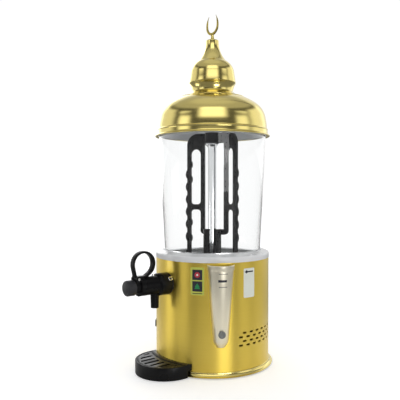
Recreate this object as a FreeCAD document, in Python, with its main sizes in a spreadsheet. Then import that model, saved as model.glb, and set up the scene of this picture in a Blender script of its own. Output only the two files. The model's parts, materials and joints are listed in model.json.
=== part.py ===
"""Hot chocolate dispenser: a gold cased warmer with a clear bowl, a stirrer, a lift-off domed lid and a tap.

Millimetres, +Z up, the tap faces -Y. The origin is on the ground under the middle of the casing.
Every driving size is a cell of the spreadsheet "Sizes", and each piece is bound to those cells.
"""
import FreeCAD, Part
import math
import os

import Sketcher

V = FreeCAD.Vector
DOC = FreeCAD.newDocument("HotChocolateDispenser")

# Driving sizes: name, value
SIZES = [
    # feet, floor plate and foot ring
    ("foot_height", 4.0), ("foot_radius", 9.0), ("foot_inset", 22.0),
    ("ring_lift", 2.0), ("ring_height", 8.0), ("ring_flare", 6.4), ("ring_lip", 4.0),
    ("plate_thickness", 1.5), ("screw_radius", 2.0), ("screw_head", 3.8), ("screw_head_height", 2.2),
    # casing
    ("casing_radius", 100.0), ("casing_wall", 1.2), ("casing_top", 186.6), ("casing_lip", 4.0),
    ("fit_gap", 0.1),
    ("vent_length", 7.5), ("vent_width", 3.2), ("vent_low", 50.5), ("vent_row_step", 6.8),
    ("vent_first_angle", 77.5), ("vent_pitch", 8.2), ("vent_count", 8),
    # collar under the bowl
    ("collar_stand", 0.5), ("collar_wall", 1.5), ("collar_height", 9.9), ("collar_round", 3.0),
    ("collar_rise", 3.0),
    # water bath, pot and standpipe
    ("bath_floor", 73.0), ("bath_gap", 9.0), ("sheet_wall", 1.0), ("pot_gap", 11.0),
    ("pot_drop", 21.0), ("pot_corner", 7.0), ("seat_rise", 4.4), ("seat_step", 6.4), ("seat_lip", 10.0),
    ("pipe_radius", 7.15), ("pipe_wall", 1.5), ("pipe_drop", 15.0), ("pipe_flare_radius", 12.5),
    ("pipe_flare_height", 8.0),
    ("heater_inset", 20.0), ("heater_radius", 4.0), ("heater_rise", 12.0), ("heater_leg_gap", 30.0),
    # bowl and its gasket
    ("bowl_clearance", 2.2), ("bowl_taper", 10.4), ("bowl_wall", 2.5), ("bowl_height", 207.0),
    ("bowl_rim_round", 1.2), ("gasket_thickness", 2.0), ("gasket_lip", 5.0),
    # drive under the bath
    ("shelf_drop", 17.0), ("shelf_thickness", 2.0), ("shelf_radius", 52.0), ("post_circle", 44.0),
    ("post_radius", 4.0), ("gearbox_radius", 31.0), ("gearbox_height", 22.0),
    ("motor_radius", 22.0), ("motor_clearance", 12.0), ("shaft_radius", 4.0), ("running_gap", 0.06),
    ("coupling_radius", 8.0), ("coupling_height", 9.0), ("bush_height", 12.0),
    ("dog_width", 10.0), ("dog_height", 10.0), ("hub_lift", 1.0),
    # stirrer, from the top of the pipe down and from the pot's floor up
    ("hub_radius", 13.0), ("hub_height", 18.0), ("arm_width", 7.2), ("paddle_thickness", 6.0),
    ("inner_arm_out", 25.3), ("inner_arm_back", 6.6), ("window_width", 18.8), ("wing_sweep", 19.3),
    ("cross_bar_drop", 105.0), ("cross_bar_height", 9.5), ("arch_drop", 8.0), ("shoulder_round", 20.0),
    ("lobe_depth", 2.8), ("lobe_pitch", 22.0), ("lobe_drop", 52.1), ("lobe_count", 6),
    ("inner_lobe_depth", 2.2), ("inner_arm_drop", 158.0), ("yoke_round", 8.0), ("yoke_height", 9.5),
    ("sleeve_radius", 16.0), ("sleeve_gap", 0.45), ("sleeve_window", 14.4), ("sleeve_ring_rise", 65.0),
    ("paddle_clearance", 5.0), ("foot_bar_height", 8.0), ("cap_radius", 8.0), ("cap_height", 4.0),
    ("stirrer_turn", 14.5),
    # lid, inwards from its brim and up from its lower edge
    ("lid_overhang", 7.4), ("lid_overlap", 3.0), ("lid_wall", 1.2), ("brim_height", 9.5),
    ("roll_depth", 1.0),
    ("band_inset", 5.6), ("band_step", 17.0), ("band_top", 32.0), ("shoulder_inset", 7.6),
    ("shoulder_bend", 36.2), ("crown_bend", 87.0), ("shoulder_out_inset", 21.2), ("shoulder_rise", 56.0),
    ("crown_inset", 43.6), ("crown_rise", 68.6),
    ("liner_thickness", 2.0), ("liner_lip", 3.2), ("liner_plate_inset", 26.0), ("liner_plate_rise", 14.0),
    ("liner_gap", 0.6),
    # finial
    ("finial_wall", 1.2), ("finial_foot_inset", 0.4), ("finial_foot_edge", 1.0), ("waist_radius", 36.6),
    ("waist_rise", 11.5), ("flare_bend", 33.0), ("belly_radius", 41.7), ("belly_rise", 26.0),
    ("waist_bend", 28.2), ("belly_top_radius", 39.0), ("belly_top_rise", 43.5), ("belly_bend", 60.0),
    ("onion_radius", 25.5), ("onion_rise", 65.4), ("onion_bend", 26.0), ("neck_radius", 11.4),
    ("neck_rise", 103.0), ("neck_bend", 49.0), ("rod_radius", 3.0),
    ("stud_radius", 4.6), ("stud_height", 9.0), ("crescent_radius", 15.0), ("crescent_height", 34.0),
    ("crescent_band", 4.2), ("crescent_side", 1.9), ("crescent_tip", 9.3), ("crescent_bend", 31.0),
    ("crescent_thickness", 3.0),
    # tap: a station that ends in _out is measured outwards from the casing's skin, along the tap's axis
    ("tap_height", 148.0), ("spigot_radius", 11.0), ("spigot_stand", 0.8), ("housing_radius", 18.5),
    ("housing_end_out", 23.0), ("housing_bevel", 3.0), ("barrel_radius", 15.0), ("barrel_end_out", 57.0),
    ("neck_out_radius", 10.0), ("neck_end_out", 66.0), ("channel_radius", 7.5), ("channel_end_out", 32.0),
    ("chamber_radius", 8.5), ("chamber_start_out", 37.0), ("nozzle_radius", 7.5),
    ("nozzle_place_out", 24.5), ("nozzle_drop", 37.5), ("nozzle_bore", 5.0), ("nozzle_cut", 38.0),
    ("end_cap_radius", 12.5), ("end_cap_length", 16.0), ("end_cap_dome", 2.2), ("end_cap_round", 2.4),
    ("plug_length", 2.5), ("nut_across", 27.0), ("nut_thickness", 4.0), ("nut_inset", 6.7),
    ("piston_radius", 5.0), ("piston_front_out", 76.0), ("collar_place_out", 49.0), ("piston_collar", 7.5),
    ("collar_length", 2.0), ("valve_radius", 9.5), ("valve_thickness", 3.0), ("seal_width", 3.0),
    ("seal_radius", 7.4), ("spring_radius", 6.6), ("spring_wire", 0.7), ("spring_turns", 4),
    # lever of the tap
    ("pivot_place_out", 59.5), ("pivot_rise", 13.5), ("pin_radius", 2.0), ("lever_boss", 3.6),
    ("lever_width", 10.0), ("ear_gap", 0.3), ("ear_width", 3.0), ("ear_radius", 5.0),
    ("slot_start_out", 48.0), ("toe_radius", 2.6), ("toe_rise", 1.5), ("toe_thickness", 3.0),
    ("toe_width", 5.6), ("toe_slack", 0.5), ("heel_place_out", 41.0), ("heel_lift", 0.3),
    ("lever_plate", 2.6), ("loop_place_out", 47.5), ("loop_rise", 36.5), ("loop_radius", 19.3),
    ("loop_band", 4.0), ("loop_front_foot_out", 62.4), ("loop_back_foot_out", 43.0),
    # water filling pocket on the side
    ("pocket_angle", 57.5), ("pocket_inset", 3.0), ("pocket_top_radius", 21.8), ("pocket_foot_radius", 12.75),
    ("pocket_drop", 2.6), ("pocket_foot", 60.0), ("pocket_wall", 1.2), ("pocket_point", 9.0),
    ("rim_height", 8.5), ("rim_stand", 1.0), ("duct_radius", 7.0), ("duct_rise", 19.0),
    ("plug_radius", 6.0), ("plug_stem", 4.0), ("plug_rise", 14.0), ("plug_head", 2.6),
    # controls on the left side and the cable inlet at the back
    ("switch_angle", -42.0), ("control_height", 66.0), ("switch_width", 21.5), ("switch_tall", 11.5),
    ("switch_frame", 1.2), ("switch_wall", 1.0), ("switch_stand", 1.5), ("switch_depth", 18.0),
    ("switch_seat", 7.0), ("rocker_stand", 1.6), ("rocker_gap", 0.4), ("rocker_pivot", 2.5),
    ("rocker_pin", 0.8), ("rocker_lean", 0.9), ("pin_skin", 0.3),
    ("knob_angle", -85.0), ("knob_height", 55.0), ("knob_radius", 17.0), ("knob_length", 15.0),
    ("knob_spindle", 3.0), ("knob_bush_radius", 4.0), ("knob_rib", 2.0), ("thermostat_size", 26.0),
    ("thermostat_depth", 20.0),
    ("gland_height", 30.0), ("gland_radius", 8.0), ("gland_thread", 6.0), ("gland_length", 9.0),
    ("gland_bore", 3.6),
    # drip tray
    ("tray_half_width", 51.0), ("tray_front_out", 53.5), ("tray_lift", 1.0), ("tray_height", 21.0),
    ("tray_wall", 2.5), ("tray_gap", 0.8), ("grille_thickness", 3.0), ("grille_inset", 0.5),
    ("grille_gap", 0.4), ("slot_width", 5.5), ("slot_pitch", 13.5), ("slot_margin", 6.0),
    ("slot_count", 7), ("ledge_width", 1.6), ("tray_step", 1.5), ("tray_pad", 4.0),
]


class Size:
    """A length that carries both its value and the sheet expression that gives it."""

    def __init__(self, value, text):
        self.value = float(value)
        self.text = text

    def join(self, other, sign, value):
        return Size(value, "(%s %s %s)" % (self.text, sign, other.text))

    def __add__(self, other):
        other = size(other)
        return self.join(other, "+", self.value + other.value)

    def __sub__(self, other):
        other = size(other)
        return self.join(other, "-", self.value - other.value)

    def __mul__(self, other):
        other = size(other)
        return self.join(other, "*", self.value * other.value)

    def __truediv__(self, other):
        other = size(other)
        return self.join(other, "/", self.value / other.value)

    def __neg__(self):
        return Size(-self.value, "(0 - %s)" % self.text)


def size(number):
    """A plain number becomes a Size, and a Size stays itself."""
    return number if isinstance(number, Size) else Size(number, repr(float(number)))


class Sheet:
    """The driving spreadsheet, read as attributes: S.casing_radius is a Size."""

    def __init__(self, rows):
        sheet = DOC.addObject("Spreadsheet::Sheet", "Sizes")
        for row, (name, value) in enumerate(rows, start=1):
            sheet.set("A%d" % row, name)
            sheet.set("B%d" % row, str(value))
            sheet.setAlias("B%d" % row, name)
            setattr(self, name, Size(value, "Sizes." + name))


S = Sheet(SIZES)
DOC.recompute()
PIECES = []


def relate():
    """Sizes that follow from others by a named gap, step or drop, so that the pieces stay fitted together."""
    S.foot_circle = S.casing_radius - S.foot_inset
    S.bath_radius = S.casing_radius - S.bath_gap
    S.pot_radius = S.bath_radius - S.pot_gap
    S.seat_radius = S.pot_radius + S.seat_step
    S.heater_circle = S.pot_radius - S.heater_inset
    S.bowl_foot_radius = S.seat_radius - S.bowl_clearance
    S.bowl_rim_radius = S.bowl_foot_radius + S.bowl_taper
    S.lid_radius = S.bowl_rim_radius + S.lid_overhang
    S.band_radius = S.lid_radius - S.band_inset
    S.shoulder_radius = S.lid_radius - S.shoulder_inset
    S.shoulder_out = S.lid_radius - S.shoulder_out_inset
    S.crown_radius = S.lid_radius - S.crown_inset
    S.liner_plate_radius = S.lid_radius - S.liner_plate_inset
    S.finial_foot_radius = S.crown_radius - S.finial_foot_inset

    S.seat_height = S.casing_top + S.seat_rise
    S.seat_lip_top = S.seat_height + S.seat_lip
    S.bowl_foot = S.seat_height + S.sheet_wall + S.gasket_thickness
    S.bowl_top = S.bowl_foot + S.bowl_height
    S.lid_bottom = S.bowl_top - S.lid_overlap
    S.liner_plate_height = S.lid_bottom + S.liner_plate_rise
    S.pipe_top = S.bowl_top - S.pipe_drop
    S.cross_bar_top = S.pipe_top - S.cross_bar_drop
    S.arch_top = S.pipe_top - S.arch_drop
    S.lobe_first = S.pipe_top - S.lobe_drop
    S.inner_arm_foot = S.pipe_top - S.inner_arm_drop
    S.sleeve_top = S.inner_arm_foot + S.yoke_height
    S.pot_floor = S.tap_height - S.pot_drop
    S.paddle_foot = S.pot_floor + S.paddle_clearance
    S.sleeve_ring = S.pot_floor + S.sleeve_ring_rise
    S.shelf_height = S.bath_floor - S.shelf_drop
    S.motor_height = S.shelf_height - S.gearbox_height - S.motor_clearance

    S.nut_place = S.pot_radius - S.nut_inset
    S.spigot_end = S.nut_place - S.spigot_stand
    for station in ("housing_end", "barrel_end", "neck_end", "channel_end", "chamber_start", "nozzle_place",
                    "piston_front", "collar_place", "pivot_place", "slot_start", "heel_place", "loop_place",
                    "loop_front_foot", "loop_back_foot", "tray_front"):
        setattr(S, station, S.casing_radius + getattr(S, station + "_out"))

    S.pocket_axis = S.casing_radius - S.pocket_inset
    S.pocket_top = S.casing_top - S.pocket_drop
    S.duct_height = S.bath_floor + S.duct_rise
    S.plug_height = S.pocket_foot + S.plug_rise


relate()


def bind(thing, path, amount):
    """Set one property of a document object from a Size."""
    amount = size(amount)
    thing.setExpression(path, amount.text)


def place(thing, x=0, y=0, z=0, turn=None):
    """Put an object at bound coordinates, with a fixed rotation first."""
    x, y, z = size(x), size(y), size(z)
    thing.Placement = FreeCAD.Placement(V(x.value, y.value, z.value), turn or FreeCAD.Rotation())
    for axis, amount in (("x", x), ("y", y), ("z", z)):
        bind(thing, "Placement.Base." + axis, amount)
    return thing


FORWARD = FreeCAD.Rotation(V(1, 0, 0), 90)
BACKWARD = FreeCAD.Rotation(V(1, 0, 0), -90)
SIDEWAYS = FreeCAD.Rotation(V(0, 1, 0), 90)


def cylinder(name, radius, length, x=0, y=0, z=0, turn=None):
    thing = DOC.addObject("Part::Cylinder", name)
    bind(thing, "Radius", radius)
    bind(thing, "Height", length)
    return place(thing, x, y, z, turn)


def rod(name, radius, start, end, height, side=0):
    """A cylinder that points at -Y, from start to end, as distances from the casing's axis."""
    return cylinder(name, radius, size(end) - start, side, -size(start), height, FORWARD)


def cone(name, low_radius, high_radius, height, x=0, y=0, z=0):
    thing = DOC.addObject("Part::Cone", name)
    bind(thing, "Radius1", low_radius)
    bind(thing, "Radius2", high_radius)
    bind(thing, "Height", height)
    return place(thing, x, y, z)


def box(name, low, high):
    """A box between two corners of Sizes."""
    thing = DOC.addObject("Part::Box", name)
    low, high = [size(c) for c in low], [size(c) for c in high]
    for side, a, b in zip(("Length", "Width", "Height"), low, high):
        bind(thing, side, b - a)
    return place(thing, *low)


def fuse(name, things):
    joined = DOC.addObject("Part::MultiFuse", name)
    joined.Shapes = things
    return joined


def cut(name, base, tool):
    result = DOC.addObject("Part::Cut", name)
    result.Base, result.Tool = base, tool
    return result


def common(name, base, tool):
    result = DOC.addObject("Part::Common", name)
    result.Base, result.Tool = base, tool
    return result


def turned(name, things, angle):
    """A group of objects turned about the casing's axis by a bound angle."""
    group = DOC.addObject("Part::Compound", name)
    group.Links = things
    bind(group, "Placement.Rotation.Angle", angle)
    return group


def node(name, thing):
    """Name an object as one real piece of the dispenser."""
    thing.Label = name
    PIECES.append((name, thing))
    return thing


def plane(body, role):
    return [f for f in body.Origin.OriginFeatures if f.Role == role][0]


def outline(sketch, corners):
    """Draw a closed outline. A corner is (x, y), or (x, y, radius) where an arc leaves it.

    A positive radius bends the edge to its left, a negative one to its right.
    """
    points = [V(size(c[0]).value, size(c[1]).value, 0) for c in corners]
    ends = []
    for here, corner in enumerate(corners):
        a, b = points[here], points[(here + 1) % len(points)]
        if len(corner) == 2:
            index = sketch.addGeometry(Part.LineSegment(a, b), False)
            ends.append((index, 1, 2))
            continue
        bend = size(corner[2])
        radius, chord = abs(bend.value), b - a
        half = chord.Length / 2
        left = V(-chord.y, chord.x, 0) / chord.Length
        sag = math.sqrt(max(radius ** 2 - half ** 2, 0.0))
        sign = 1 if bend.value > 0 else -1
        centre = a + chord / 2 + left * (sag * sign)
        middle = centre - left * (radius * sign)
        index = sketch.addGeometry(Part.Arc(a, middle, b), False)
        ends.append((index, 1, 2) if sign > 0 else (index, 2, 1))
        bound = size(corner[2]) if sign > 0 else -size(corner[2])
        rule = sketch.addConstraint(Sketcher.Constraint("Radius", index, radius))
        sketch.setExpression("Constraints[%d]" % rule, bound.text)
    for here, corner in enumerate(corners):
        index, start, end = ends[here]
        following = ends[(here + 1) % len(ends)]
        sketch.addConstraint(Sketcher.Constraint("Coincident", index, end, following[0], following[1]))
        for kind, value, axis in (("DistanceX", corner[0], -2), ("DistanceY", corner[1], -1)):
            value = size(value)
            if value.value == 0:
                sketch.addConstraint(Sketcher.Constraint("PointOnObject", index, start, axis))
                continue
            rule = sketch.addConstraint(Sketcher.Constraint(kind, -1, 1, index, start, value.value))
            sketch.setExpression("Constraints[%d]" % rule, value.text)


def new_body(name):
    return DOC.addObject("PartDesign::Body", name)


def new_sketch(body, role, corners, turn=None):
    sketch = body.newObject("Sketcher::SketchObject", body.Name + "Sketch")
    sketch.AttachmentSupport = [(plane(body, role), "")]
    sketch.MapMode = "FlatFace"
    if turn is not None:
        bind(sketch, "AttachmentOffset.Rotation.Angle", turn)
        sketch.AttachmentOffset = FreeCAD.Placement(V(), FreeCAD.Rotation(V(0, 1, 0), size(turn).value))
    if corners:
        outline(sketch, corners)
    return sketch


def revolved(name, corners, body=None):
    """A body of revolution about +Z from an outline in radius and height."""
    body = body or new_body(name)
    sketch = new_sketch(body, "XZ_Plane", corners)
    spin = body.newObject("PartDesign::Revolution", name + "Spin")
    spin.Profile = sketch
    spin.ReferenceAxis = (sketch, ["V_Axis"])
    spin.Angle = 360
    body.Tip = spin
    return body


def padded(name, corners, low, high, role="XY_Plane"):
    """A body padded from an outline, between two heights above its plane."""
    body = new_body(name)
    sketch = new_sketch(body, role, corners)
    bind(sketch, "AttachmentOffset.Base.z", low)
    pad = body.newObject("PartDesign::Pad", name + "Pad")
    pad.Profile = sketch
    bind(pad, "Length", size(high) - low)
    body.Tip = pad
    return body


def solid(name, shape):
    """A plain feature for the few forms that no sketch or primitive gives."""
    thing = DOC.addObject("Part::Feature", name)
    thing.Shape = shape
    return thing


# Feet, floor plate and foot ring
def make_base():
    feet, screws = [], []
    plate_low = S.foot_height
    for index in range(4):
        angle = math.radians(45 + 90 * index)
        x, y = S.foot_circle * math.cos(angle), S.foot_circle * math.sin(angle)
        foot = cone("Foot%d" % index, S.foot_radius - 1, S.foot_radius, S.foot_height, x, y, 0)
        dish = cylinder("FootDish%d" % index, S.screw_head + 0.4, S.screw_head_height, x, y, 0)
        hole = cylinder("FootHole%d" % index, S.screw_radius + S.fit_gap, S.foot_height, x, y, 0)
        feet.append(cut("FootCut%d" % index, foot, fuse("FootBore%d" % index, [dish, hole])))
        shank_top = plate_low + S.plate_thickness + 2
        head = cylinder("FootHead%d" % index, S.screw_head, S.screw_head_height - 0.4, x, y, 0.4)
        shank = cylinder("FootShank%d" % index, S.screw_radius, shank_top - 0.4, x, y, 0.4)
        screws.append(fuse("FootScrew%d" % index, [head, shank]))
    feet.append(cone("MiddlePad", S.foot_radius - 1, S.foot_radius, S.foot_height))
    group = DOC.addObject("Part::Compound", "Feet")
    group.Links = feet
    node("rubber_feet", group)
    group = DOC.addObject("Part::Compound", "FootScrews")
    group.Links = screws
    node("foot_screws", group)

    plate = cylinder("Plate", S.casing_radius - S.casing_wall - S.fit_gap, S.plate_thickness, 0, 0, plate_low)
    holes = []
    for index in range(4):
        angle = math.radians(45 + 90 * index)
        x, y = S.foot_circle * math.cos(angle), S.foot_circle * math.sin(angle)
        holes.append(cylinder("PlateHole%d" % index, S.screw_radius + S.fit_gap, 9, x, y, 0))
    node("base_plate", cut("PlateCut", plate, fuse("PlateHoles", holes)))

    outer = S.casing_radius + S.ring_flare
    top = S.ring_lift + S.ring_height
    node("base_ring", revolved("BaseRing", [
        (S.casing_radius - S.ring_lip, S.ring_lift),
        (outer, S.ring_lift),
        (outer + 0.4, S.ring_lift + 1.2, -(S.ring_height * 0.8)),
        (S.casing_radius + 1.2, top - 0.8),
        (S.casing_radius, top),
        (S.casing_radius, S.foot_height),
        (S.casing_radius - S.ring_lip, S.foot_height)]))


# Casing: a sheet tube with an inturned top edge, vents, and the holes for tap, pocket, controls and cable
def vent_slots():
    """Four staggered rows of round-ended slots, as tools that stand round the casing."""
    near, far = S.casing_radius - 4, S.casing_radius + 3
    half = (S.vent_length - S.vent_width) / 2
    slots = []
    for name, rows, shift in (("Even", (0, 2), 0), ("Odd", (1, 3), 0.5)):
        column = []
        for row in rows:
            height = S.vent_low + S.vent_row_step * row
            low = height - S.vent_width / 2
            middle = box(name + "Middle", (-half, -far, low), (half, -near, low + S.vent_width))
            ends = [rod(name + "End", S.vent_width / 2, near, far, height, side) for side in (half, -half)]
            column.append(fuse(name + "Slot", [middle] + ends))
        for index in range(int(S.vent_count.value)):
            angle = S.vent_first_angle + S.vent_pitch * (index + shift)
            slots.append(turned("%sColumn%d" % (name, index), column, angle))
    return slots


def make_casing():
    inner = S.casing_radius - S.casing_wall
    shell = revolved("Casing", [
        (inner, S.foot_height),
        (S.casing_radius, S.foot_height),
        (S.casing_radius, S.casing_top),
        (inner - S.casing_lip, S.casing_top),
        (inner - S.casing_lip, S.casing_top - S.casing_wall),
        (inner, S.casing_top - S.casing_wall)])
    near, far = S.casing_radius - 20, S.casing_radius + 5
    wide, tall = switch_opening()
    tool = DOC.addObject("Part::Compound", "CasingOpenings")
    tool.Links = vent_slots() + [
        rod("TapHole", S.spigot_radius + S.fit_gap, near, far, S.tap_height),
        turned("DuctPort", [rod("DuctHole", S.duct_radius - 1, near, far, S.duct_height)], S.pocket_angle),
        turned("SwitchPort", [box("SwitchHole", (-wide, -far, S.control_height - tall),
                                  (wide, -near, S.control_height + tall))], S.switch_angle),
        turned("KnobPort", [rod("KnobHole", S.knob_bush_radius, near, far, S.knob_height)], S.knob_angle),
        cylinder("GlandHole", S.gland_thread, 30, 0, near, S.gland_height, BACKWARD)]
    node("body_casing", cut("CasingCut", shell, tool))


def make_collar():
    out = S.casing_radius + S.collar_stand
    top = S.casing_top + S.collar_height
    inner = S.seat_radius + S.fit_gap
    wall = S.collar_wall
    node("top_collar", revolved("Collar", [
        (out - wall, S.casing_top),
        (out, S.casing_top),
        (out, top - S.collar_round, S.collar_round),
        (out - S.collar_round, top),
        (inner + 2, top + S.collar_rise, 2),
        (inner, top + S.collar_rise - 1.0),
        (inner, top + S.collar_rise - 3.5),
        (inner + 2, top + S.collar_rise - wall),
        (out - S.collar_round - 1, top - wall),
        (out - wall, top - S.collar_round - wall)]))


# Water bath, product pot and the pipe that carries the drive through both
def make_vessels():
    wall = S.sheet_wall
    rim = S.casing_radius + S.collar_stand - S.collar_wall - S.fit_gap
    shell = revolved("Bath", [
        (S.pipe_radius, S.bath_floor),
        (S.bath_radius - 6, S.bath_floor, 6),
        (S.bath_radius, S.bath_floor + 6),
        (S.bath_radius, S.casing_top),
        (rim, S.casing_top),
        (rim, S.casing_top + wall),
        (S.bath_radius, S.casing_top + wall),
        (S.bath_radius, S.seat_height),
        (S.pot_radius, S.seat_height),
        (S.pot_radius, S.seat_height - wall),
        (S.bath_radius - wall, S.seat_height - wall),
        (S.bath_radius - wall, S.bath_floor + 6, -5),
        (S.bath_radius - 6, S.bath_floor + wall),
        (S.pipe_radius, S.bath_floor + wall)])
    ports = [rod("BathTap", S.spigot_radius + S.fit_gap, S.bath_radius - 20, S.bath_radius + 5, S.tap_height),
             turned("BathDuct", [rod("BathDuctHole", S.duct_radius, S.bath_radius - 15,
                                     S.bath_radius + 5, S.duct_height)], S.pocket_angle)]
    ports += [cylinder("BathLeg%d" % side, S.heater_radius - 0.5, 8, S.heater_leg_gap / 2 * side,
                       leg_depth(), S.bath_floor - 3) for side in (1, -1)]
    tool = DOC.addObject("Part::Compound", "BathPorts")
    tool.Links = ports
    node("water_bath", cut("BathCut", shell, tool))

    pot = revolved("Pot", [
        (S.pipe_radius, S.pot_floor),
        (S.pot_radius - S.pot_corner, S.pot_floor, S.pot_corner),
        (S.pot_radius, S.pot_floor + S.pot_corner),
        (S.pot_radius, S.seat_height),
        (S.seat_radius, S.seat_height),
        (S.seat_radius, S.seat_lip_top),
        (S.seat_radius - wall, S.seat_lip_top),
        (S.seat_radius - wall, S.seat_height + wall),
        (S.pot_radius - wall, S.seat_height + wall),
        (S.pot_radius - wall, S.pot_floor + S.pot_corner, -(S.pot_corner - wall)),
        (S.pot_radius - S.pot_corner, S.pot_floor + wall),
        (S.pipe_radius, S.pot_floor + wall)])
    spout = rod("PotTap", S.spigot_radius + S.fit_gap, S.pot_radius - 20, S.pot_radius + 5, S.tap_height)
    node("steel_pot", cut("PotCut", pot, spout))

    inner = S.pipe_radius - S.pipe_wall
    flare = S.pipe_top - S.pipe_flare_height
    node("standpipe", revolved("Standpipe", [
        (inner, S.bath_floor - 2),
        (S.pipe_radius, S.bath_floor - 2),
        (S.pipe_radius, flare),
        (S.pipe_flare_radius, S.pipe_top - 1.5),
        (S.pipe_flare_radius, S.pipe_top),
        (inner, S.pipe_top)]))

    ring = DOC.addObject("Part::Torus", "HeaterRing")
    bind(ring, "Radius1", S.heater_circle)
    bind(ring, "Radius2", S.heater_radius)
    place(ring, 0, 0, S.bath_floor + S.heater_rise)
    legs = [cylinder("HeaterLeg%d" % side, S.heater_radius - 0.5, S.heater_rise + 8,
                     S.heater_leg_gap / 2 * side, leg_depth(), S.bath_floor - 8) for side in (1, -1)]
    node("heating_element", fuse("Heater", [ring] + legs))


def leg_depth():
    """How far back the heater's legs stand, so that they meet its ring."""
    half, circle = S.heater_leg_gap / 2, S.heater_circle
    return Size(math.sqrt(circle.value ** 2 - half.value ** 2),
                "sqrt(%s * %s - %s * %s)" % (circle.text, circle.text, half.text, half.text))


# Bowl and the gasket it stands on
def make_bowl():
    foot, rim, wall = S.bowl_foot_radius, S.bowl_rim_radius, S.bowl_wall
    node("clear_bowl", revolved("Bowl", [
        (foot - wall, S.bowl_foot),
        (foot, S.bowl_foot),
        (rim, S.bowl_top - 4),
        (rim + S.bowl_rim_round, S.bowl_top - 4 + S.bowl_rim_round),
        (rim + S.bowl_rim_round, S.bowl_top),
        (rim - wall, S.bowl_top)]))
    low = S.seat_height + S.sheet_wall
    lip = S.seat_radius - S.sheet_wall
    node("bowl_gasket", revolved("Gasket", [
        (S.pot_radius - S.sheet_wall + 1, low),
        (lip, low),
        (lip, low + S.gasket_thickness + S.gasket_lip),
        (foot + 0.6, low + S.gasket_thickness + S.gasket_lip),
        (foot + 0.3, S.bowl_foot),
        (S.pot_radius - S.sheet_wall + 1, S.bowl_foot)]))


# Gear motor, its shelf, and the shaft that turns the stirrer
def make_drive():
    shelf = cylinder("Shelf", S.shelf_radius, S.shelf_thickness, 0, 0, S.shelf_height)
    floor = S.foot_height + S.plate_thickness
    posts, screws, holes = [], [], []
    for index in range(4):
        angle = math.radians(90 * index)
        x, y = S.post_circle * math.cos(angle), S.post_circle * math.sin(angle)
        posts.append(cylinder("Post%d" % index, S.post_radius, S.shelf_height - floor, x, y, floor))
        holes.append(cylinder("ShelfHole%d" % index, S.screw_radius + S.fit_gap, 9, x, y, S.shelf_height - 3))
        top = S.shelf_height + S.shelf_thickness
        head = cylinder("PostHead%d" % index, S.screw_head, S.screw_head_height, x, y, top)
        shank = cylinder("PostShank%d" % index, S.screw_radius, S.shelf_thickness + 6, x, y,
                         S.shelf_height - 6)
        screws.append(fuse("PostScrew%d" % index, [head, shank]))
    bored = []
    for index, post in enumerate(posts):
        angle = math.radians(90 * index)
        x, y = S.post_circle * math.cos(angle), S.post_circle * math.sin(angle)
        bore = cylinder("PostBore%d" % index, S.screw_radius, 8, x, y, S.shelf_height - 7)
        bored.append(cut("PostCut%d" % index, post, bore))
    holes.append(cylinder("ShelfMiddle", S.coupling_radius + 2, 9, 0, 0, S.shelf_height - 3))
    node("motor_shelf", cut("ShelfCut", shelf, fuse("ShelfHoles", holes)))
    group = DOC.addObject("Part::Compound", "Posts")
    group.Links = bored
    node("shelf_posts", group)
    group = DOC.addObject("Part::Compound", "ShelfScrews")
    group.Links = screws
    node("shelf_screws", group)

    under = S.shelf_height - S.gearbox_height
    bore = S.shaft_radius + S.running_gap
    node("gear_motor", revolved("GearMotor", [
        (0, under - S.motor_height),
        (S.motor_radius - 2, under - S.motor_height),
        (S.motor_radius, under - S.motor_height + 2),
        (S.motor_radius, under),
        (S.gearbox_radius, under),
        (S.gearbox_radius, S.shelf_height),
        (bore, S.shelf_height),
        (bore, S.shelf_height - 16),
        (0, S.shelf_height - 16)]))

    shaft_low = S.shelf_height - 15
    dog_low = S.pipe_top + S.hub_lift + 2
    shaft_top = S.pipe_top + S.hub_lift + S.hub_height
    node("drive_shaft", cylinder("Shaft", S.shaft_radius, shaft_top - shaft_low, 0, 0, shaft_low))
    low = S.shelf_height + S.shelf_thickness + 1
    ring = cylinder("CouplingRing", S.coupling_radius, S.coupling_height, 0, 0, low)
    node("shaft_coupling", cut("Coupling", ring, cylinder("CouplingBore", S.shaft_radius, 20, 0, 0, low - 5)))
    half = S.dog_width / 2
    block = box("DogBlock", (-half, -half, dog_low), (half, half, dog_low + S.dog_height))
    dog = cut("Dog", block, cylinder("DogBore", S.shaft_radius, 30, 0, 0, dog_low - 5))
    bind(dog, "Placement.Rotation.Angle", S.stirrer_turn)
    node("drive_dog", dog)

    bushes = []
    for index, low in enumerate((S.bath_floor + 2, S.pipe_top - S.pipe_flare_height - S.bush_height - 2)):
        ring = cylinder("Bush%d" % index, S.pipe_radius - S.pipe_wall, S.bush_height, 0, 0, low)
        hole = cylinder("BushBore%d" % index, bore, S.bush_height + 4, 0, 0, low - 2)
        bushes.append(cut("BushCut%d" % index, ring, hole))
    group = DOC.addObject("Part::Compound", "Bushes")
    group.Links = bushes
    node("shaft_bushes", group)


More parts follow.
